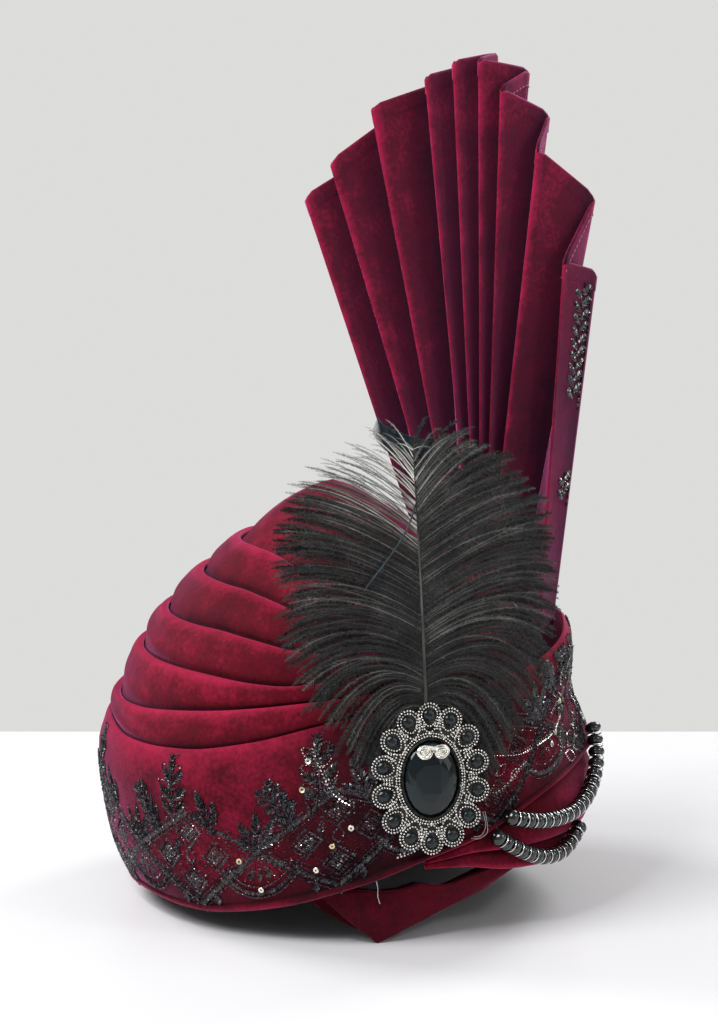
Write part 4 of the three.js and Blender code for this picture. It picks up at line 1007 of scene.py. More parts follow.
# Silver chains and sequins on the band: rows of small bright beads beside the brooch and on the
# collar, and single rings of metal foil sewn through the middle.
CHAINS = (
    ((16.8, 100.3), (21.2, 99), (25.5, 98.6), (31, 100.7), (36.8, 103.1), (41.3, 106.6), (44, 110.7)),
    ((26.1, 92.7), (23.3, 90), (20, 84.8), (17.7, 81.3), (15.3, 79.4)),
    ((51.4, 123.9), (47.6, 120), (43.3, 116.3), (39.9, 112.8)),
    ((56, 146), (58, 136), (57, 127), (60, 116), (66, 108)),
    ((-6.8, 50.9), (-4.8, 52.3), (-2.8, 54.2), (-1.3, 56.2)),
    ((-24.9, 108.7), (-23.8, 104), (-22.4, 95.9), (-20.7, 88.3), (-18.7, 83.2), (-16.2, 80)))
SILVER_LEAVES = (
    ((48, 126), (50, 136)), ((52, 128), (56, 137)), ((45, 121), (42, 130)), ((58, 122), (62, 132)),
    ((55, 134), (60, 143)), ((41, 97), (45, 104)), ((44, 95), (49, 101)), ((47, 92), (52, 96)),
    ((42, 92), (47, 88)), ((50, 98), (56, 104)), ((20, 95), (17, 90)), ((23, 92), (21, 86)),
    ((-24, 103), (-27, 108)), ((-23.6, 100), (-20.4, 104.5)), ((-23, 96), (-27, 99)),
    ((-22, 93), (-19, 97)), ((-21, 89), (-25, 91)), ((66, 118), (70, 128)), ((64, 130), (68, 140)))
SEQUINS = ((-26.7, 87.8), (-25.5, 101.9), (-16.5, 68), (-20.6, 58), (-24.3, 44.4), (-37.4, 31), (-42, 46.2),
           (46, 118), (44, 110), (40, 104), (37, 99), (62, 120), (66, 112))
SEQUIN_RADIUS = 1.65
SEQUIN_SIDES = 14
chain = Needle()
for points in CHAINS:
    points = np.array(points) * (MM_PER_DEGREE, 1)
    chain.line(points, 1.9, 1.6, 1.25, lean=math.radians(25))
    chain.line(points + (1.2, 1.6), 2.2, 1.4, 1.05, lean=math.radians(-25))
for base, tip in np.array(SILVER_LEAVES) * (MM_PER_DEGREE, 1):
    side = 0.24 * np.array((base[1] - tip[1], tip[0] - base[0]))
    middle = 0.5 * (base + tip)
    chain.line([base, middle + side, tip, middle - side, base], 1.7, 1.25, 0.85, lean=math.radians(15))
chain_rows = np.array(chain.rows)
at_chain = chain_rows[:, 0] / MM_PER_DEGREE
spot_c, along_c, out_c = sewn_frame(at_chain, chain_rows[:, 1], chain_rows[:, 5], chain_rows[:, 2])
size_c = np.column_stack([chain_rows[:, 3:5], np.full(len(chain_rows), 1.1)])
sew("silver_chains", knot, np.concatenate([spot[bright], spot_c]), np.concatenate([along[bright], along_c]),
    np.concatenate([tilt[bright], out_c]),
    np.concatenate([size[bright] * (0.4, 0.8, 0.8), size_c]), silver, "embroidered_velvet")

ring_points, ring_faces = [], []
for j in range(SEQUIN_SIDES):
    a = 2 * math.pi * j / SEQUIN_SIDES
    for radius, z in ((0.32, 0.0), (0.36, 0.1), (0.88, 0.16), (1.0, 0.04)):
        ring_points.append((radius * math.cos(a), radius * math.sin(a), z))
    n = (j + 1) % SEQUIN_SIDES
    ring_faces += [(4 * j + k, 4 * n + k, 4 * n + k + 1, 4 * j + k + 1) for k in range(3)]
ring_mesh = bpy.data.meshes.new("sequin")
ring_mesh.from_pydata(ring_points, [], ring_faces)
sequin = bpy.data.objects.new("sequin", ring_mesh)
turn_outward(ring_mesh, up=True)
seq = np.array(SEQUINS)
spot_s, along_s, out_s = sewn_frame(seq[:, 0], seq[:, 1], np.full(len(seq), 0.7), np.zeros(len(seq)))
foil = grained("sequin_foil", 0.3, (60, 1), [(0.4, (0.7, 0.6, 0.36)), (0.6, (0.8, 0.77, 0.7))], (800, 1),
               0.0001, 0.4, metallic=1.0)
sew("sequins", sequin, spot_s, along_s, out_s + 0.15 * draw.normal(0, 1, (len(seq), 3)),
    np.full((len(seq), 3), SEQUIN_RADIUS), foil, "embroidered_velvet")

# The end of the embroidered border shows on the fan's last pleat: sprigs of black beads with a
# few silver ones, in a strip below the hem and again lower down.
LAST_FACE = 16
FACE_WIDE = 31.0
BORDER_LIFT = 0.45
BORDER_SILVER_SHARE = 0.2
BORDER_STRIPS = ((-9, -76), (-116, -132))


def on_fan(at_column, at_level):
    """Points of the fan's front at a column of creases and a level from 0 at the foot to 1."""
    i = np.interp(at_level, level[:, 0], np.arange(len(level)))
    j = np.interp(at_column, column, np.arange(len(column)))
    i0, j0 = np.minimum(i.astype(int), len(level) - 2), np.minimum(j.astype(int), len(column) - 2)
    a, b = (i - i0)[:, None], (j - j0)[:, None]
    return (front[i0, j0] * (1 - a) * (1 - b) + front[i0 + 1, j0] * a * (1 - b)
            + front[i0, j0 + 1] * (1 - a) * b + front[i0 + 1, j0 + 1] * a * b)


border = Needle()
for top, bottom in BORDER_STRIPS:
    border.line([(21, top), (18, (top + bottom) / 2), (20, bottom)], 1.0, 1.9, 1.2)
    border.line([(27, top - 2), (28.5, (top + bottom) / 2), (27.5, bottom - 4)], 1.1, 1.9, 1.3)
    for down in np.arange(top - 4, bottom, -7):
        border.leaf((19.5, down - 3), (28, down + 3.5), 6.0, 0.85)
        border.leaf((19.5, down - 6), (13, down - 0.5), 4.6, 0.85)
rows = np.array(border.rows)
at_column = LAST_FACE + rows[:, 0] / FACE_WIDE
tall = FAN_HEIGHT * PLEATS[LAST_FACE, 2]
at_level = 1 + rows[:, 1] / tall
angle = rows[:, 2] + 0.2 * draw.normal(0, 1, len(rows))
spot, along, out = surface_frame(on_fan, at_column, at_level, 0.02, 0.004, angle)
out *= -np.sign(out[:, 1:2])
spot = spot + out * BORDER_LIFT
size = np.column_stack([rows[:, 3:5], np.full(len(rows), 1.3)])
bright = draw.random(len(rows)) < BORDER_SILVER_SHARE
sew("fan_border", knot, spot[~bright], along[~bright], out[~bright], size[~bright], black_glass, "velvet")
sew("fan_border_silver", knot, spot[bright], along[bright], out[bright], size[bright] * (0.7, 0.95, 1),
    silver, "velvet")

# The plume: one dark ostrich feather. Barbs leave the quill on both sides, sweep out and droop,
# and each carries fine barbules that make it look like fur.
PLUME_HEIGHT = 173.0
PLUME_REACH = 77.0
PLUME_WRAP = 14.0
PLUME_TURN = math.radians(4)
PLUME_LEAN = 20.0
PLUME_SWAY = 4.0
PLUME_FOOT_LEVEL = 104.0
BARB_ROOTS = 130
LAYERS = 3
BARBULE_EVERY = 0.56
BARB_RADIUS = 0.2
BARB_TIP = 0.05
TIP_WANDER = 0.026
SHORTEST_HAIR = 1.4
LONGEST_HAIR = 2.9
HAIR_STRAY = 0.22
QUILL_RADIUS = 1.3
PLUME_CLEAR = 0.9
plume_seat = winding(0.0, PLUME_FOOT_LEVEL, LIP)[1]
PLUME_FOOT = np.array((0, plume_seat - PLUME_CLEAR - QUILL_RADIUS, PLUME_FOOT_LEVEL))
LOCKS = np.array((
    # root, reach, tip
    (0.09, 0.34, -0.09), (0.17, 0.55, 0.02), (0.24, 0.86, 0.18), (0.34, 0.99, 0.37), (0.45, 1.0, 0.55),
    (0.57, 0.95, 0.72), (0.7, 0.72, 0.87), (0.82, 0.36, 0.95), (0.93, 0.1, 0.98)))


def plume_place(across, rise, forward):
    """A point of the plume: it leans back, wraps round the crown and sways a little."""
    share = rise / PLUME_HEIGHT
    back = PLUME_LEAN * share + PLUME_WRAP * (across / PLUME_REACH) ** 2 - forward
    cos, sin = math.cos(PLUME_TURN), math.sin(PLUME_TURN)
    return PLUME_FOOT + np.stack([
        across * cos + back * sin - PLUME_SWAY * share * share, back * cos - across * sin, rise], -1)


def strands(name, lines, radii, sides, material, slot, tone=None):
    """Sweeps lines of points into tapered strands, all in one piece; radii in millimetres."""
    carrier = bpy.data.meshes.new(name)
    edges, base = [], 0
    for line in lines:
        edges += [(base + i, base + i + 1) for i in range(len(line) - 1)]
        base += len(line)
    carrier.from_pydata(to_metres(np.concatenate(lines)).tolist(), edges, [])
    mark(carrier, "thick", np.concatenate(radii) * 0.001)
    if tone is not None:
        mark(carrier, "tone", np.concatenate(tone))
    tree, given = rule(name, Lines="Geometry", Sides="Int", Thickness="Float", Finish="Material")
    nodes, link = tree.nodes, tree.links.new
    thick = nodes.new("GeometryNodeInputNamedAttribute")
    thick.data_type = "FLOAT"
    thick.inputs["Name"].default_value = "thick"
    scale = nodes.new("ShaderNodeMath")
    scale.operation = "MULTIPLY"
    curve = nodes.new("GeometryNodeMeshToCurve")
    ring = nodes.new("GeometryNodeCurvePrimitiveCircle")
    ring.inputs["Radius"].default_value = 1.0
    sweep = nodes.new("GeometryNodeCurveToMesh")
    sweep.inputs["Fill Caps"].default_value = True
    soft = nodes.new("GeometryNodeSetShadeSmooth")
    link(given.outputs["Lines"], curve.inputs["Mesh"])
    link(given.outputs["Sides"], ring.inputs["Resolution"])
    link(thick.outputs["Attribute"], scale.inputs[0])
    link(given.outputs["Thickness"], scale.inputs[1])
    link(scale.outputs["Value"], sweep.inputs["Scale"])
    link(curve.outputs["Curve"], sweep.inputs["Curve"])
    link(ring.outputs["Curve"], sweep.inputs["Profile Curve"])
    link(sweep.outputs["Mesh"], soft.inputs["Geometry"])
    return bake(show(name, carrier), tree, given, soft.outputs["Geometry"], slot,
                Sides=sides, Thickness=1.0, Finish=material)


def feather(name, roughness, pale):
    """Ostrich barbs: nearly black, each barb a little lighter or darker than the next, with a painted sheen
    on the upper barbs and painted shade on the rear layers.
    """
    material, tree, surface, place = shader(name, roughness, specular=0.4)
    tone = tree.nodes.new("ShaderNodeAttribute")
    tone.attribute_name = "tone"
    value = summed(tree, [(tone.outputs["Fac"], 0.9), (grain(tree, place, 60, 4), 0.5)], -0.25)
    colour = tones(tree, value, [(0.08, (0.004, 0.004, 0.004)), (0.36, (0.034, 0.034, 0.033)),
                                 (0.62, (0.17, 0.168, 0.16)), (0.9, pale)])
    tree.links.new(colour, surface.inputs["Base Color"])
    relief(tree, surface, grain(tree, place, 2200, 1), 0.0002, 0.4)
    return material


feather_dark = feather("ostrich_barbs", 0.36, (0.75, 0.74, 0.7))
feather_fur = feather("ostrich_barbules", 0.6, (0.45, 0.44, 0.41))

quill_rise = np.linspace(-0.02, 0.9, 24)
quill_line = plume_place(0 * quill_rise, quill_rise * PLUME_HEIGHT, 0 * quill_rise)
barb_lines, barb_radii, barb_tones, fur_tones = [], [], [], []
fur_spots, fur_ways, fur_outs, fur_sizes = [], [], [], []
draw = np.random.default_rng(17)
for layer in range(LAYERS):
    for k in range(BARB_ROOTS):
        for hand in (-1, 1):
            root = 0.09 + 0.84 * (k + draw.uniform(0.1, 0.9)) / BARB_ROOTS
            if draw.random() < 0.75 * np.clip((root - (0.58 if hand < 0 else 0.72)) / 0.16, 0, 1):
                continue
            reach = np.interp(root, LOCKS[:, 0], LOCKS[:, 1]) * PLUME_REACH * draw.uniform(0.86, 1.08)
            reach *= 0.93 if hand < 0 else 0.98
            tip = (np.interp(root, LOCKS[:, 0], LOCKS[:, 2]) + draw.normal(0, TIP_WANDER)) * PLUME_HEIGHT
            base = root * PLUME_HEIGHT
            tip += 0.035 * PLUME_HEIGHT * math.exp(-((root - 0.45) / 0.2) ** 2)
            arch = max(0.34 * reach, 0.75 * (tip - base)) * draw.uniform(0.9, 1.12)
            t = np.linspace(0, 1, 11)
            across = hand * t * reach
            rise = (1 - t) ** 2 * base + 2 * t * (1 - t) * (base + arch) + t * t * tip
            rise = rise - (5 - 4 * root) * t ** 5
            depth = (1.5 - 1.4 * layer) * np.sin(math.pi * np.clip(t * 0.8, 0, 1)) + draw.normal(0, 0.5) * t
            line = plume_place(across, rise, depth)
            barb_lines.append(line)
            barb_radii.append(BARB_RADIUS * (1 - t) ** 0.6 + BARB_TIP)
            wispy = np.clip((root - 0.56) / 0.12, 0, 1) if hand < 0 else 0.0
            # Each barb's tone: random, plus a painted sheen on the upper barbs near the quill and painted
            # shade on the rear layers; the wispy tips are paler.
            light = 0.2 + 0.42 * draw.random() ** 2 + 0.3 * np.clip((root - 0.5) / 0.3, 0, 1) * (1 - 0.5 * t)
            light = np.clip(light + 0.25 * wispy - (0.0, 0.1, 0.4)[layer] * (1 - wispy), 0, 1)
            barb_tones.append(light)
            run = run_of(line)
            s = np.arange(0.5, run[-1] - 0.3, BARBULE_EVERY)
            s = np.repeat(s + draw.uniform(-0.2, 0.2, len(s)), 2)
            spot = on_run(s, run, line)
            ahead = on_run(np.minimum(s + 1, run[-1]), run, line)
            way = ahead - on_run(s - 0.5, run, line)
            way /= np.linalg.norm(way, axis=1, keepdims=True)
            out = np.array((0, -1.0, 0)) + draw.normal(0, 0.35, (len(s), 3))
            sideways = np.cross(out, way) * np.tile((1, -1), len(s) // 2)[:, None]
            sideways /= np.linalg.norm(sideways, axis=1, keepdims=True)
            hair = way * draw.uniform(0.75, 1.1, (len(s), 1)) + sideways
            hair = hair + draw.normal(0, 0.16, (len(s), 3))
            hair[:, 1] += draw.normal(0, HAIR_STRAY, len(s))
            hair /= np.linalg.norm(hair, axis=1, keepdims=True)
            hair_run = draw.uniform(SHORTEST_HAIR, LONGEST_HAIR, len(s)) * (0.8 + 0.25 * s / run[-1])
            hair_run = hair_run * (1 - 0.6 * max(0, root - 0.75)) * (1 - 0.45 * wispy)
            hair_run = hair_run * np.clip((run[-1] - s) / 6 + 0.25, 0, 1)
            fur_tones.append(0.72 * np.interp(s, run, light) + draw.normal(0, 0.07, len(s)))
            fur_spots.append(spot)
            fur_ways.append(hair)
            fur_outs.append(out)
            broad = (0.3, 0.34, 0.75)[layer] * (1 - 0.5 * wispy)
            fur_sizes.append(np.column_stack([hair_run, np.full((len(s), 2), broad)]))
strands("plume_barbs", barb_lines, barb_radii, 3, feather_dark, "plume", barb_tones)
hair_mesh = bpy.data.meshes.new("hair")
hair_mesh.from_pydata([(0, -0.5, 0), (0, 0.5, 0), (1, 0, 0)], [], [(0, 2, 1)])
hair_form = bpy.data.objects.new("hair", hair_mesh)
sew("plume_fur", hair_form, *(np.concatenate(part) for part in (fur_spots, fur_ways, fur_outs, fur_sizes)),
    feather_fur, "plume", np.concatenate(fur_tones))
quill_horn = grained("quill_horn", 0.3, (120, 2, (1, 1, 0.2)), [(0.35, (0.012, 0.011, 0.01)),
                     (0.7, (0.1, 0.095, 0.085))], (900, 1, (1, 1, 0.1)), 0.0002, 0.5, specular=0.6)
quill_radius = QUILL_RADIUS * (1 - 0.8 * np.clip(quill_rise / 0.9, 0, 1))
quill = strands("plume_quill", [quill_line], [quill_radius], 10, quill_horn, "plume")
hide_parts("plume")

# The small feather: a stiff smooth one, nearly black with a blue cast, stuck through the plume
# so that its bare quill comes out in front.
SMALL_VANE = np.array((
    # across, rise, half, forward
    (0.04, 0.78, 0.02, -3.5), (0.07, 0.84, 0.1, -4), (0.06, 0.89, 0.25, -4.5), (0.04, 0.94, 0.29, -4.5),
    (-0.16, 0.985, 0.05, -4.5)))
SMALL_QUILL = np.array(((0.06, 0.83, -3.8), (0, 0.76, 0), (-0.12, 0.66, 3.6), (-0.39, 0.51, 3.6)))
blue_feather = grained("blue_feather", 0.5, (220, 3, (1, 1, 0.25)), [(0.35, (0.003, 0.007, 0.011)),
                       (0.7, (0.02, 0.04, 0.055))], (1400, 1, (1, 1, 0.12)), 0.0003, 0.7, specular=0.3)
vane = smooth_line(SMALL_VANE, 10)
lines, radii = [], []
for hand in (-1, 1):
    for t in np.linspace(0.02, 0.99, 60):
        here = t * (len(vane) - 1)
        across, rise, half, forward = (np.interp(here, np.arange(len(vane)), vane[:, i]) for i in range(4))
        s = np.linspace(0, 1, 6)
        lines.append(plume_place((across + hand * half * s) * PLUME_REACH,
                                 (rise + (0.01 * s + 0.02 * s * s)) * PLUME_HEIGHT - 9 * s * (hand > 0),
                                 forward + 0.4 * np.sin(s * 3) * hand))
        radii.append(0.42 * (1 - 0.75 * s ** 3))
small_path = smooth_line(SMALL_QUILL, 8)
lines.append(plume_place(*(small_path * (PLUME_REACH, PLUME_HEIGHT, 1)).T))
radii.append(np.linspace(0.4, 0.6, len(small_path)))
small = strands("small_feather_barbs", lines, radii, 4, blue_feather, "dark_feather")
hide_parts("small_feather")

# The brooch: an antiqued metal plate edged with round petals, all covered with rows of small
# silver beads, with a cut black stone in each petal and a large oval one in the middle.
PETALS = 14
PETAL = 6.6
RING_WIDE = 53.0
RING_TALL = 67.0
STONE_WIDE = 30.0
STONE_TALL = 40.0
STONE_RISE = 5.0
STONE_BASE = 1.9
BROOCH_TILT = math.radians(86)
BROOCH_LEVEL = 93.0
BROOCH_CLEAR = 0.3
PLATE_RINGS = ((0.985, 0.0), (1.0, 0.5), (1.0, 2.0), (0.985, 2.5), (0.72, 2.6))
FACET_RINGS = ((1.0, 0.0), (1.0, 1.3), (0.92, 2.7), (0.8, 3.7), (0.62, 4.62))
BEZEL_RINGS = ((0.7, 1.7), (0.5, 4.0), (1.0, 4.6), (2.2, 4.4), (3.2, 3.4), (3.4, 1.7))
GEM_RINGS = ((2.9, 2.7), (3.1, 3.2), (2.3, 4.0), (0.9, 4.5))
STONE_TABLE = (4.4, 7.5, 0.28)
brooch_drop = (PLUME_FOOT_LEVEL - BROOCH_LEVEL) * math.tan(math.radians(90) - BROOCH_TILT)
brooch_face = PLUME_FOOT[1] - QUILL_RADIUS - BROOCH_CLEAR - brooch_drop
brooch_at = np.array((0, brooch_face, BROOCH_LEVEL))
brooch_turn = np.array(Matrix.Rotation(BROOCH_TILT, 3, "X"))


def on_brooch(points):
    """From the brooch's own plane to the tilted place where it is pinned."""
    return np.asarray(points, float) @ brooch_turn.T + brooch_at


antiqued = grained("antiqued_metal", 0.42, (300, 3), [(0.35, (0.006, 0.006, 0.0055)),
                   (0.7, (0.05, 0.048, 0.045))], (1100, 2), 0.0003, 0.6, metallic=0.9)
bright_beads = grained("brooch_beads", 0.25, (900, 2), [(0.32, (0.12, 0.118, 0.11)),
                       (0.45, (0.55, 0.545, 0.52)), (0.7, (0.82, 0.8, 0.75))], (3000, 1), 0.0001, 0.3,
                       metallic=0.75)
jet = grained("cut_jet", 0.04, (40, 2), [(0.3, (0.001, 0.0028, 0.0036)), (0.7, (0.002, 0.008, 0.0105))],
              (60, 1), 0.0002, 0.15, specular=0.42)


def rings_piece(name, rings, material, smooth=False, table_cut=None):
    """A closed form on the brooch through rings of points; a stone's table is split in facets."""
    mesh = bpy.data.meshes.new(name)
    mesh.from_pydata(rings.reshape(-1, 3).tolist(), [], loop_faces(*rings.shape[:2], False))
    shape = bmesh.new()
    shape.from_mesh(mesh)
    bmesh.ops.remove_doubles(shape, verts=shape.verts, dist=1e-4)
    if table_cut:
        half_wide, half_tall, raised = table_cut
        for way, place in (((1, 0, 0), half_wide), ((-1, 0, 0), half_wide), ((0, 1, 0), half_tall),
                           ((0, -1, 0), half_tall)):
            top = max(v.co.z for v in shape.verts)
            crown = [f for f in shape.faces if f.calc_center_median().z > top - 1.2]
            edges = {e for f in crown for e in f.edges}
            corners = {v for f in crown for v in f.verts}
            bmesh.ops.bisect_plane(shape, geom=crown + list(edges) + list(corners), dist=1e-4,
                                   plane_co=Vector(way) * place, plane_no=way)
        top = max(v.co.z for v in shape.verts)
        for v in shape.verts:
            if v.co.z > top - 0.01 and abs(v.co.x) < half_wide + 0.01 and abs(v.co.y) < half_tall + 0.01:
                v.co.z += raised * (1.0 + 0.35 * (v.co.x > 0) - 0.3 * (v.co.y > 0))
        bmesh.ops.triangulate(shape, faces=[f for f in shape.faces if len(f.verts) > 4])
    bmesh.ops.recalc_face_normals(shape, faces=shape.faces)
    spots = to_metres(on_brooch([v.co for v in shape.verts]))
    for v, spot in zip(shape.verts, spots):
        v.co = spot
    for face in shape.faces:
        face.smooth = smooth
    shape.to_mesh(mesh)
    shape.free()
    mesh.materials.append(material)
    return show(name, mesh)


def oval(wide, tall, z, sides, turn=0.0):
    """An oval of points at a height, as wide and tall as given."""
    a = np.linspace(0, 2 * math.pi, sides, endpoint=False) + turn
    return np.stack([0.5 * wide * np.cos(a), 0.5 * tall * np.sin(a), np.full(sides, float(z))], -1)


petal_angles = math.pi / 2 - 2 * math.pi * np.arange(PETALS) / PETALS
petal_middles = 0.5 * np.stack([RING_WIDE * np.cos(petal_angles), RING_TALL * np.sin(petal_angles)], -1)
edge_angles = np.linspace(0, 2 * math.pi, 224, endpoint=False)
edge_points = []
for a in edge_angles:
    way = np.array((math.cos(a), math.sin(a)))
    reach = 0.5 / math.hypot(way[0] / RING_WIDE, way[1] / RING_TALL)
    for middle in petal_middles:
        along = middle @ way
        off = middle @ middle - along ** 2
        if along > 0 and off < (PETAL - 0.4) ** 2:
            reach = max(reach, along + math.sqrt((PETAL - 0.4) ** 2 - off))
    edge_points.append(way * reach)
edge_points = np.array(edge_points)
plate = rings_piece("brooch_plate", np.array([
    np.column_stack([edge_points * scale, np.full(len(edge_points), z)])
    for scale, z in PLATE_RINGS]), antiqued, True)
stand_for(plate, "brooch_setting")

stone_rings = [oval(STONE_WIDE * scale, STONE_TALL * scale, STONE_BASE + z, 20, 0.157 * (i % 2))
               for i, (scale, z) in enumerate(FACET_RINGS)]
centre_stone = rings_piece("oval_stone", np.array(stone_rings), jet, table_cut=STONE_TABLE)
stand_for(centre_stone, "brooch_stone")
bezel_rings = [oval(STONE_WIDE + grow, STONE_TALL + grow, z, 72) for grow, z in BEZEL_RINGS]
bezel = rings_piece("stone_bezel", np.array(bezel_rings + [bezel_rings[0]]), antiqued, True)
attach(bezel, "root")
for i, (x, y) in enumerate(petal_middles):
    rings = [oval(2 * radius, 2 * radius, z, 10, 0.314 * (j % 2)) + (x, y, 0)
             for j, (radius, z) in enumerate(GEM_RINGS)]
    gem = rings_piece(f"petal_gem_{i + 1}", np.array(rings), jet)
    stand_for(gem, f"petal_stone_{i + 1}")

bead_form = bpy.data.objects.new("bead_form", bpy.data.meshes.new("bead_form"))
round_shape = bmesh.new()
bmesh.ops.create_icosphere(round_shape, subdivisions=2, radius=0.5)
for face in round_shape.faces:
    face.smooth = True
round_shape.to_mesh(bead_form.data)
round_shape.free()
grains = []


def bead_row(points, every, across, z, closed=True):
    """Notes a row of beads, spread evenly along a line on the brooch."""
    points = np.asarray(points, float)
    if closed:
        points = np.concatenate([points, points[:1]])
    run = run_of(points)
    count = max(1, int(round(run[-1] / every)))
    for s in (np.arange(count) + 0.5 * (not closed)) * run[-1] / count:
        grains.append((np.interp(s, run, points[:, 0]), np.interp(s, run, points[:, 1]), z, across))


circle = oval(2, 2, 0, 40)[:, :2]
for middle, a in zip(petal_middles, petal_angles):
    inward = -middle / np.linalg.norm(middle)
    for radius, across, z, pull in ((6.0, 1.18, 2.95, 3.2), (4.4, 1.05, 3.1, 1.6)):
        push = np.clip(circle @ inward, 0, 1) ** 3
        bead_row(middle + circle * radius + inward * push[:, None] * pull, 1.45 * across, across, z)
    bead_row([middle + inward * 9.2, middle + inward * 10.8], 1.2, 1.15, 3.2, closed=False)
for grow, across, z in ((4.6, 1.2, 3.4), (7.5, 1.1, 3.0)):
    bead_row(oval(STONE_WIDE + grow, STONE_TALL + grow, 0, 120)[:, :2], across * 1.3, across, z)
for a in petal_angles - math.pi / PETALS:
    way = np.array((0.5 * RING_WIDE * math.cos(a), 0.5 * RING_TALL * math.sin(a)))
    normal = np.array((-math.sin(a), math.cos(a)))
    for shift in (-2.1, -0.7, 0.7, 2.1):
        start, end = 0.75 + 0.03 * abs(shift), 1.04 - 0.075 * abs(shift)
        bead_row([way * start + normal * shift, way * end + normal * shift], 1.5, 1.05, 2.95, closed=False)
grains = np.array(grains)
spot = on_brooch(grains[:, :3])
face_out = brooch_turn @ np.array((0, 0, 1.0))
count = len(grains)
sew("brooch_beadwork", bead_form, spot, np.tile((1.0, 0, 0), (count, 1)), np.tile(face_out, (count, 1)),
    np.repeat(grains[:, 3:4], 3, 1), bright_beads, "setting")

# The bow over the oval stone's top: a small pale plated ornament with a raised rim and two
# openwork loops.
BOW = np.array(((0, 0.1), (0.22, -0.38), (0.7, -0.42), (1, 0.08), (0.72, 0.5), (0.3, 0.5), (0, 0.42)))
BOW_HALF = 9.2
BOW_TALL = 7.6
BOW_RISE = 0.36 * STONE_TALL
BOW_CLEAR = 0.3
BOW_RINGS = ((1.0, 0.0), (1.0, 0.9), (0.95, 1.4), (0.86, 1.3), (0.8, 0.7), (0.5, 0.75))
bow_metal = grained("bow_plating", 0.26, (500, 2), [(0.35, (0.68, 0.66, 0.58)), (0.7, (0.96, 0.95, 0.9))],
                    (700, 2), 0.0003, 0.6, metallic=1.0)
right = smooth_line(BOW * (BOW_HALF, BOW_TALL), 4)
outline = np.concatenate([right, (right * (-1, 1))[::-1][1:-1]])
middle = outline.mean(0)
bow_base = STONE_BASE + STONE_RISE + BOW_CLEAR
rings = [np.column_stack([middle + (outline - middle) * scale + (0, BOW_RISE),
                          np.full(len(outline), bow_base + z)]) for scale, z in BOW_RINGS]
bow = rings_piece("bow_ornament", np.array(rings), bow_metal, True)
stand_for(bow, "brooch_bow")
bow_lines = []
for hand in (-1, 1):
    for wide, tall in ((0.34, 0.28), (0.2, 0.14)):
        loop = oval(2 * wide * BOW_HALF, 2 * tall * BOW_TALL, bow_base + 1.1, 18)
        loop = np.concatenate([loop, loop[:1]])
        bow_lines.append(on_brooch(loop + (hand * 0.52 * BOW_HALF, BOW_RISE + 0.06 * BOW_TALL, 0)))
strands("bow_scrolls", bow_lines, [np.full(len(line), 0.42) for line in bow_lines], 6, bow_metal, "bow")

# The bead strings: rounded metallic-coated glass beads threaded close, a thin bright ring between
# each two, sewn on beside the brooch and on the collar.
BEAD = 4.6
BEAD_PITCH = 6.8
BEAD_SEAT = 0.6
BEAD_SIZE = (6.6, 9.2, 9.2)
BORE = 0.16
RING_SIZE = (4.1, 4.1, 4.1)
RING_THICK = 0.08
THREAD_RADIUS = 0.5
UPPER_ROUTE = np.array((
    (18, 0.294), (24, 0.275), (31, 0.262), (40, 0.258), (48, 0.272), (54, 0.305), (58, 0.35), (60.5, 0.4),
    (61, 0.425)))
LOWER_ROUTE = np.array((
    (15, 0.255), (20, 0.222), (26, 0.191), (32, 0.173), (38, 0.17), (42.5, 0.185), (46, 0.208),
    (49.5, 0.228)))
glass_bead, tree, surface, place = shader("coated_bead", 0.1, metallic=0.15, specular=0.7)
surface.inputs["Coat Weight"].default_value = 0.25
surface.inputs["Coat Roughness"].default_value = 0.02
colour = tones(tree, grain(tree, place, 90, 2), [
    (0.35, (0.002, 0.003, 0.0035)), (0.7, (0.012, 0.014, 0.016))])
tree.links.new(colour, surface.inputs["Base Color"])
relief(tree, surface, grain(tree, place, 300, 1), 0.0002, 0.15)
bright_ring = grained("bright_ring", 0.18, (400, 1), [(0.3, (0.7, 0.7, 0.7)), (0.7, (0.92, 0.92, 0.92))],
                      (900, 1), 0.0001, 0.3, metallic=1.0)
thread_grey = grained("grey_thread", 0.55, (600, 1), [(0.3, (0.22, 0.2, 0.2)), (0.7, (0.5, 0.47, 0.46))],
                      (2000, 1), 0.0002, 0.6)
ball = [(-0.5 * math.cos(a), 0.5 * math.sin(a)) for a in np.linspace(0.42, math.pi - 0.42, 9)]
round_bead = small_form("round_bead", [(-0.46, 0), (-0.48, BORE), *ball, (0.48, BORE), (0.46, 0)], 18, True)
ring_form = bpy.data.objects.new("ring_form", bpy.data.meshes.new("ring_form"))
section = [(1 + x, z) for x, z, _ in oval(2 * RING_THICK, 2 * RING_THICK, 0, 6)]
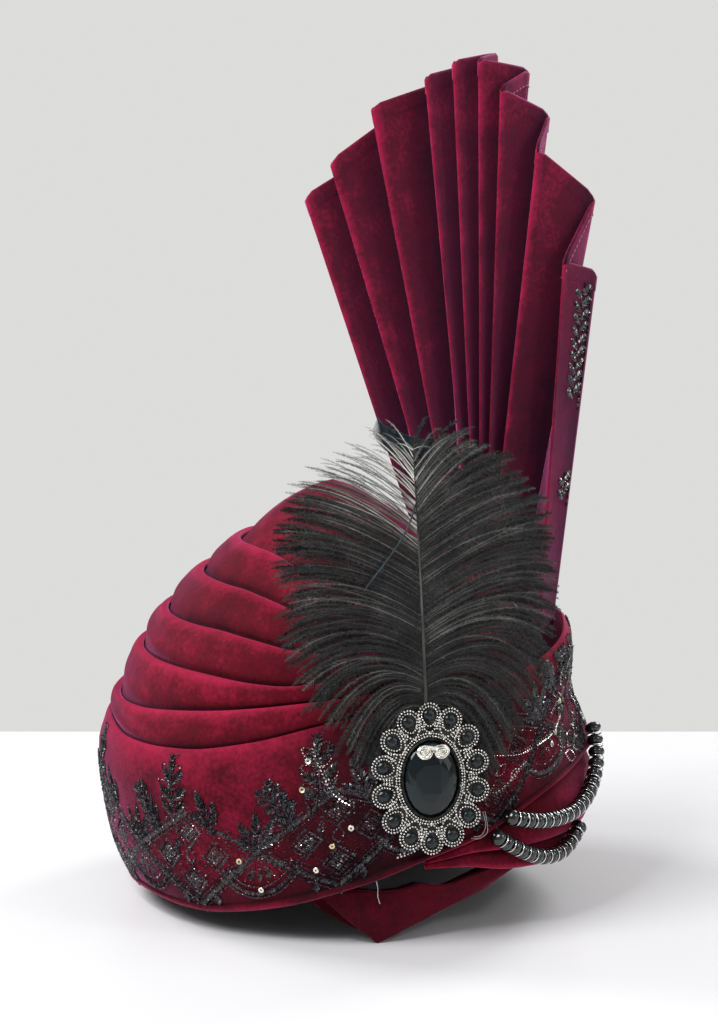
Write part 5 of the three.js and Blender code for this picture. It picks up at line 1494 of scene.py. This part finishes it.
torus = [(z, r * x, r * y) for x, y, _ in oval(2, 2, 0, 24) for r, z in section]
ring_form.data.from_pydata(torus, [], loop_faces(24, 6, True))
turn_outward(ring_form.data, smooth=True)
for label, route in (("upper", UPPER_ROUTE), ("lower", LOWER_ROUTE)):
    line = smooth_line(on_band(route[:, 0], route[:, 1] * CROWN_TOP, LIP + BEAD_SEAT + BEAD), 16)
    run = run_of(line)
    count = int(run[-1] // BEAD_PITCH)
    middles = (np.arange(count) + 0.5) * BEAD_PITCH
    joins = np.arange(1, count) * BEAD_PITCH
    for name, s, form, size, material in (
            ("beads", middles, round_bead, BEAD_SIZE, glass_bead),
            ("rings", joins, ring_form, RING_SIZE, bright_ring)):
        spot = on_run(s, run, line)
        way = on_run(np.minimum(s + 1, run[-1]), run, line) - on_run(np.maximum(s - 1, 0), run, line)
        side = np.cross(way, spot * (1, 1, 0))
        piece = sew(f"string_{label}_{name}", form, spot, way, np.cross(side, way),
                    np.tile(size, (len(s), 1)), material, "beads")
        if name == "beads":
            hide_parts(f"bead_string_{label}")
    thread = on_run(np.linspace(0, count * BEAD_PITCH, 60), run, line)
    strands(f"string_{label}_thread", [thread], [np.full(60, THREAD_RADIUS)], 6, thread_grey, "beads")

# Loose ends of thread under the brooch and under the hem, left where the maker tied off.
LOOSE_RADIUS = 0.22
lines = []
for points in (
        ((13.3, 72.4, 2.0), (13.6, 66.2, 3.6), (13.8, 60.7, 3.4), (12.1, 57.9, 2.4), (10.3, 58.4, 1.8)),
        ((12.7, 72.5, 2.2), (13.1, 65.3, 4.2), (12.2, 60.0, 4.0), (10.7, 59.4, 2.6))):
    lines.append(smooth_line(on_band(*np.array(points).T), 6))
hang = on_band(np.array([-11.1]), np.array([38.5]), np.array([1.2]))[0]
lines.append(smooth_line(hang + np.array(((0, 0, 0), (0.6, -0.8, -4), (0.4, -1.4, -8), (1.6, -1.2, -12))), 5))
strands("thread_ends", lines, [np.full(len(line), LOOSE_RADIUS) for line in lines], 5, thread_grey,
        "embroidered_velvet")
